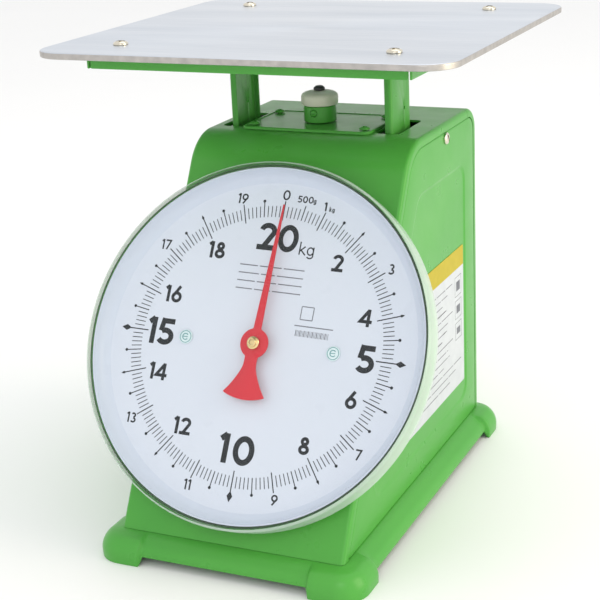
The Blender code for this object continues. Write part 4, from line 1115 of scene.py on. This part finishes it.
def make_numerals():
    """Kilogram numerals in three sizes, as they stand on such a dial."""
    bm = bmesh.new()
    add_text(bm, "20", (-0.0003, 0.0716), 0.0183, 0.195, 1.06, 0.06)
    add_text(bm, "10", (-0.0010, -0.0684), 0.0190, 0.200, 1.06, 0.17)
    add_text(bm, "5", (0.0750, 0.0003), 0.0178, 0.200, 1.03)
    add_text(bm, "15", (-0.0720, 0.0005), 0.0178, 0.200, 1.03, 0.12)
    add_text(bm, "kg", (0.0212, 0.0661), 0.0086, 0.10, 1.05, 0.12)
    for text, x, y in (("2", 0.0444, 0.0590), ("4", 0.0700, 0.0262), ("6", 0.0700, -0.0262),
                       ("8", 0.0444, -0.0590), ("12", -0.0428, -0.0590), ("14", -0.0682, -0.0262),
                       ("16", -0.0682, 0.0262), ("18", -0.0428, 0.0590)):
        add_text(bm, text, (x, y), 0.0112, 0.190, 1.03, 0.11)
    for value in (0, 3, 7, 9, 11, 13, 17, 19):
        angle = 2 * math.pi * value / 20
        spot = (0.1003 * math.sin(angle), 0.1003 * math.cos(angle))
        add_text(bm, str(value), spot, 0.0068, 0.160, 1.0, 0.13)
    add_text(bm, "500", (0.0140, 0.0985), 0.0046, 0.18, 1.0, 0.12)
    add_text(bm, "g", (0.0206, 0.0982), 0.0036, 0.18, 1.0)
    add_text(bm, "1", (0.0288, 0.0950), 0.0058, 0.20, 1.0)
    add_text(bm, "kg", (0.0336, 0.0936), 0.0032, 0.18, 1.0, 0.14)
    numerals = make_object("dial_numerals", bm, PRINT_FRAME, 0)
    finish_piece(numerals, MATERIALS["ink"], "chassis", "dial_white")


def make_small_print():
    """Plain rules where small wording stands: four lines, and a blank approval field."""
    bm = bmesh.new()
    rows = ((0.0515, (0.0, 0.30, 0.66)), (0.0462, (0.0, 0.34, 0.58)), (0.0410, (0.0, 0.30, 0.62)),
            (0.0358, (0.0, 0.28, 0.55)))
    for y, starts in rows:
        stops = starts[1:] + (1.0,)
        for a, b in zip(starts, stops):
            x0, x1 = -0.0240 + 0.0480 * a, -0.0240 + 0.0480 * b - 0.0016
            add_stroke(bm, [(x0, y), (x1, y)], 0.0007, Matrix.Identity(4), PRINT_LOW, PRINT_HIGH)
    left, right, low, high = 0.0255, 0.0340, 0.0200, 0.0285
    for a, b in (((left, low), (right, low)), ((right, low), (right, high)),
                 ((right, high), (left, high)), ((left, high), (left, low))):
        add_stroke(bm, [a, b], 0.0006, Matrix.Identity(4), PRINT_LOW, PRINT_HIGH)
    add_stroke(bm, [(0.0225, 0.0158), (0.0495, 0.0158)], 0.0007, Matrix.Identity(4), PRINT_LOW, PRINT_HIGH)
    for k in range(24):
        x = 0.0242 + 0.00098 * k
        width = 0.0003 if k % 3 else 0.0006
        add_stroke(bm, [(x, 0.0090), (x, 0.0130)], width, Matrix.Identity(4), PRINT_LOW, PRINT_HIGH)
    rules = make_object("dial_small_rules", bm, PRINT_FRAME, 0)
    finish_piece(rules, MATERIALS["faint_ink"], "chassis", "dial_white")


def make_dial():
    """Painted case whose lip is painted dark green as the shadow in the gap round the dish, white dish with
    an upturned rim whose flank is painted a darker blue-grey as shade, and clear cover.
    """
    sides = 192
    back = CASE_BACK
    case = [(0.030, back), (CASE_RADIUS - 0.002, back), (CASE_RADIUS - 0.0006, back + 0.0006),
            (CASE_RADIUS, back + 0.002), (CASE_RADIUS, 0.0101), (CASE_RADIUS - 0.0005, 0.0105),
            (CASE_RADIUS - 0.001, 0.0101), (CASE_RADIUS - 0.001, back + 0.0024),
            (CASE_RADIUS - 0.0022, back + 0.0012), (0.030, back + 0.0012)]
    case_object = make_object("dial_case_spun", lathe(case, sides), DIAL_FRAME)
    front = spline([(0.1055, 0.0), (0.1085, 0.0004), (0.1118, 0.0024), (0.1140, 0.0056),
                    (0.1153, 0.0098)], 6)
    rear = spline([(DISH_RADIUS, 0.0098), (0.1149, 0.0052), (0.1126, 0.0018), (0.1090, -0.0004),
                   (0.1060, -0.0008)], 6)
    dish = [(0.0022, 0.0)] + [(p.x, p.y) for p in front] + [(p.x, p.y) for p in rear] + [(0.0022, -0.0008)]
    plate = make_object("dial_dish", lathe(dish, sides), DIAL_FRAME)
    carve(plate, [rod(0.0019, 0.006, DIAL_FRAME @ place(x, 0, 0)) for x in (-SEAL_X, SEAL_X)])
    carve(case_object, [rod(0.0019, 0.006, DIAL_FRAME @ place(x, 0, back)) for x in (-SEAL_X, SEAL_X)])
    finish_piece(case_object, MATERIALS["green"], "chassis", "green_enamel", "dial_case")
    finish_piece(plate, MATERIALS["dial"], "chassis", "dial_white", "dial_plate")
    to_dial = (TO_ORIGIN @ DIAL_FRAME).inverted()
    # The case's lip takes the painted shade of the gap round the dish.
    case_object.data.materials.append(MATERIALS["gap_shade"])
    for polygon in case_object.data.polygons:
        if (to_dial @ polygon.center).z > 0.0098:
            polygon.material_index = 1
    # The upturned flank of the dish takes the darker painted shade.
    plate.data.materials.append(MATERIALS["flank"])
    for polygon in plate.data.polygons:
        if (to_dial @ polygon.center).z > 0.0003:
            polygon.material_index = 1

    top = COVER_FRONT
    outer = [(0.0, top + 0.0018), (0.035, top + 0.00165), (0.070, top + 0.0012), (0.100, top + 0.0006),
             (0.1165, top)]
    outer += [(0.1165 + 0.0035 * math.sin(a), top - 0.0035 + 0.0035 * math.cos(a))
              for a in [math.pi / 2 * k / 8 for k in range(1, 9)]]
    outer += [(COVER_RADIUS, -0.0026), (COVER_RADIUS - 0.0004, -0.0030)]
    inner_radius = COVER_RADIUS - COVER_WALL
    inner = [(inner_radius + 0.0003, -0.0030), (inner_radius, -0.0027)]
    inner += [(0.1165 + 0.0016 * math.cos(a), top - 0.0035 + 0.0016 * math.sin(a))
              for a in [math.pi / 2 * k / 8 for k in range(0, 9)]]
    inner += [(0.100, top + 0.0006 - COVER_WALL), (0.070, top + 0.0012 - COVER_WALL),
              (0.035, top + 0.00165 - COVER_WALL), (0.0, top + 0.0018 - COVER_WALL)]
    cover = make_object("dial_lens", lathe(outer + inner, sides), DIAL_FRAME)
    finish_piece(cover, MATERIALS["clear"], "chassis", "clear_plastic", "dial_cover")
    # The rim wall takes the pale painted reflection.
    cover.data.materials.append(MATERIALS["clear_rim_reflection"])
    for polygon in cover.data.polygons:
        if (to_dial @ polygon.center).xy.length > COVER_RADIUS - 0.0016:
            polygon.material_index = 1


def make_seals():
    """Round seals over the two dial screws: a film disc with a printed ring."""
    for side, word in ((-1, "left"), (1, "right")):
        spot = DIAL_FRAME @ place(side * SEAL_X, 0, 0)
        disc = [(0.0, -0.0138), (0.0016, -0.0138), (0.0016, 0.0003), (0.0046, 0.0003), (0.0048, 0.0005),
                (0.0047, 0.0008), (0.0042, 0.0010), (0.0030, 0.0011), (0.0, 0.0012)]
        cap = make_object(f"{word}_dial_seal", lathe(disc, 64), spot)
        finish_piece(cap, MATERIALS["seal"], "chassis", "zinc_steel", f"{word}_dial_screw")
        bm = bmesh.new()
        add_stroke(bm, arc(0, 0, 0.0039, 0.0039, 0, 360, 48), 0.00045, Matrix.Identity(4), 0.00085, 0.00115)
        add_stroke(bm, arc(0, 0, 0.0020, 0.0020, 40, 320, 32), 0.0006, Matrix.Identity(4), 0.0010, 0.00128)
        add_stroke(bm, [(-0.0018, 0.0), (0.0016, 0.0)], 0.0005, Matrix.Identity(4), 0.0010, 0.00126)
        mark = make_object(f"{word}_dial_seal_print", bm, spot, 0)
        finish_piece(mark, MATERIALS["seal_mark"], "chassis", "zinc_steel")


def make_pointer():
    """Red pointer: long tapered blade, round hub and fan tail, under a brass nut."""
    half = [(0.0005, 0.0925), (0.0012, 0.0700), (0.0019, 0.0450), (0.0025, 0.0200), (0.0027, 0.0100)]
    hub = 0.0098
    for k in range(15):
        a = math.radians(72 - 134 * k / 14)
        half.append((hub * math.cos(a), hub * math.sin(a)))
    waist = spline([(0.0044, -0.0100), (0.0047, -0.0155), (0.0070, -0.0215), (0.0110, -0.0285),
                    (0.0147, -0.0335)], 4)
    half += [(p.x, p.y) for p in waist]
    tail = 0.0368
    for k in range(1, 10):
        a = math.radians(66.3 + 23.7 * k / 9)
        half.append((tail * math.cos(a), -tail * math.sin(a)))
    outline = half[:-1] + [(0.0, -tail)] + [(-x, y) for x, y in reversed(half[:-1])]
    bm = loft([[(x, y, z) for x, y in outline] for z in (0.0060, 0.0068)])
    pointer = make_object("pointer_blade", bm, DIAL_FRAME @ Matrix.Rotation(POINTER_TURN, 4, "Z"))
    carve(pointer, [rod(0.0017, 0.01, DIAL_FRAME @ place(0, 0, 0.0064))])
    round_edges(pointer, 0.00012, 2)
    finish_piece(pointer, MATERIALS["red"], "pointer", "pointer_red", "pointer")
    nut = [(0.0017, 0.0071), (0.0040, 0.0071), (0.0042, 0.0073), (0.0042, 0.0090), (0.0038, 0.0095),
           (0.0031, 0.0098), (0.0030, 0.0108), (0.0026, 0.0112), (0.0017, 0.0112)]
    cap = make_object("pointer_nut_turned", lathe(nut, 48), DIAL_FRAME)
    finish_piece(cap, MATERIALS["brass"], "pointer", "brass", "pointer_nut")


# ---- floor, light and camera --------------------------------------------------------------------

def make_floor():
    """Large pale floor just under the feet."""
    bm = bmesh.new()
    bmesh.ops.create_grid(bm, x_segments=4, y_segments=4, size=6.0)
    floor = make_object("studio_floor", bm, place(0, 0, -0.0001), 0)
    material = new_material("studio_floor_paper", (0.90, 0.90, 0.90), 0.8)
    vary_colour(material, (0.895, 0.895, 0.895), (0.905, 0.905, 0.905), 3.0)
    floor.data.materials.append(material)


def make_world(strength):
    world = bpy.data.worlds.new("studio_world")
    world.use_nodes = True
    background = world.node_tree.nodes["Background"]
    background.inputs["Color"].default_value = (1.0, 1.0, 1.0, 1.0)
    background.inputs["Strength"].default_value = strength
    bpy.context.scene.world = world


def make_area_light(name, location, target, size, power, colour=(1.0, 1.0, 1.0)):
    light = bpy.data.lights.new(name, "AREA")
    light.shape = "RECTANGLE"
    light.size, light.size_y = size
    light.energy = power
    light.color = colour
    obj = bpy.data.objects.new(name, light)
    obj.location = location
    obj.rotation_mode = "QUATERNION"
    obj.rotation_quaternion = (Vector(target) - Vector(location)).to_track_quat("-Z", "Y")
    bpy.context.scene.collection.objects.link(obj)


def make_camera():
    """Camera at the photograph's viewing angle, with a slight roll."""
    yaw, pitch, roll = math.radians(24.149), math.radians(-18.125), math.radians(-2.391)
    forward = Vector((-math.sin(yaw) * math.cos(pitch), math.cos(yaw) * math.cos(pitch), math.sin(pitch)))
    right = Vector((math.cos(yaw), math.sin(yaw), 0))
    up = right.cross(forward)
    right_rolled = math.cos(roll) * right + math.sin(roll) * up
    up_rolled = -math.sin(roll) * right + math.cos(roll) * up
    turn = Matrix((right_rolled, up_rolled, -forward)).transposed().to_4x4()
    data = bpy.data.cameras.new("camera")
    data.sensor_width = 36.0
    data.lens = 87.53
    data.shift_x = -0.0406
    data.shift_y = -0.0223
    data.clip_start = 0.05
    data.clip_end = 50.0
    camera = bpy.data.objects.new("camera", data)
    camera.matrix_world = TO_ORIGIN @ Matrix.Translation((0.4065, -0.8790, 0.4606)) @ turn
    bpy.context.scene.collection.objects.link(camera)
    bpy.context.scene.camera = camera


def make_stage():
    make_camera()
    make_floor()
    make_world(1.0)
    middle = (0.0, 0.0, 0.15)
    make_area_light("key_light", (0.7, -1.7, 1.3), middle, (0.8, 0.8), 5.0)
    make_area_light("right_light", (1.8, 0.1, 0.7), middle, (1.0, 1.4), 16.0, (1.0, 0.90, 0.66))
    make_area_light("top_light", (0.1, 0.6, 1.9), middle, (1.6, 1.0), 5.0)
    bpy.context.scene.view_settings.view_transform = "Standard"


make_stage()
dress_cad_nodes()
make_base()
make_front_top_cover()
make_rear_cover()
make_side_panel(-1, "left")
make_side_panel(1, "right")
make_side_label()
make_top_plate()
make_zero_adjuster()
make_spring("left", -1)
make_spring("right", 1)
make_leg(-1, "left")
make_leg(1, "right")
make_tray_frame()
make_tray()
make_dial()
make_graduations()
make_numerals()
make_small_print()
make_seals()
make_pointer()
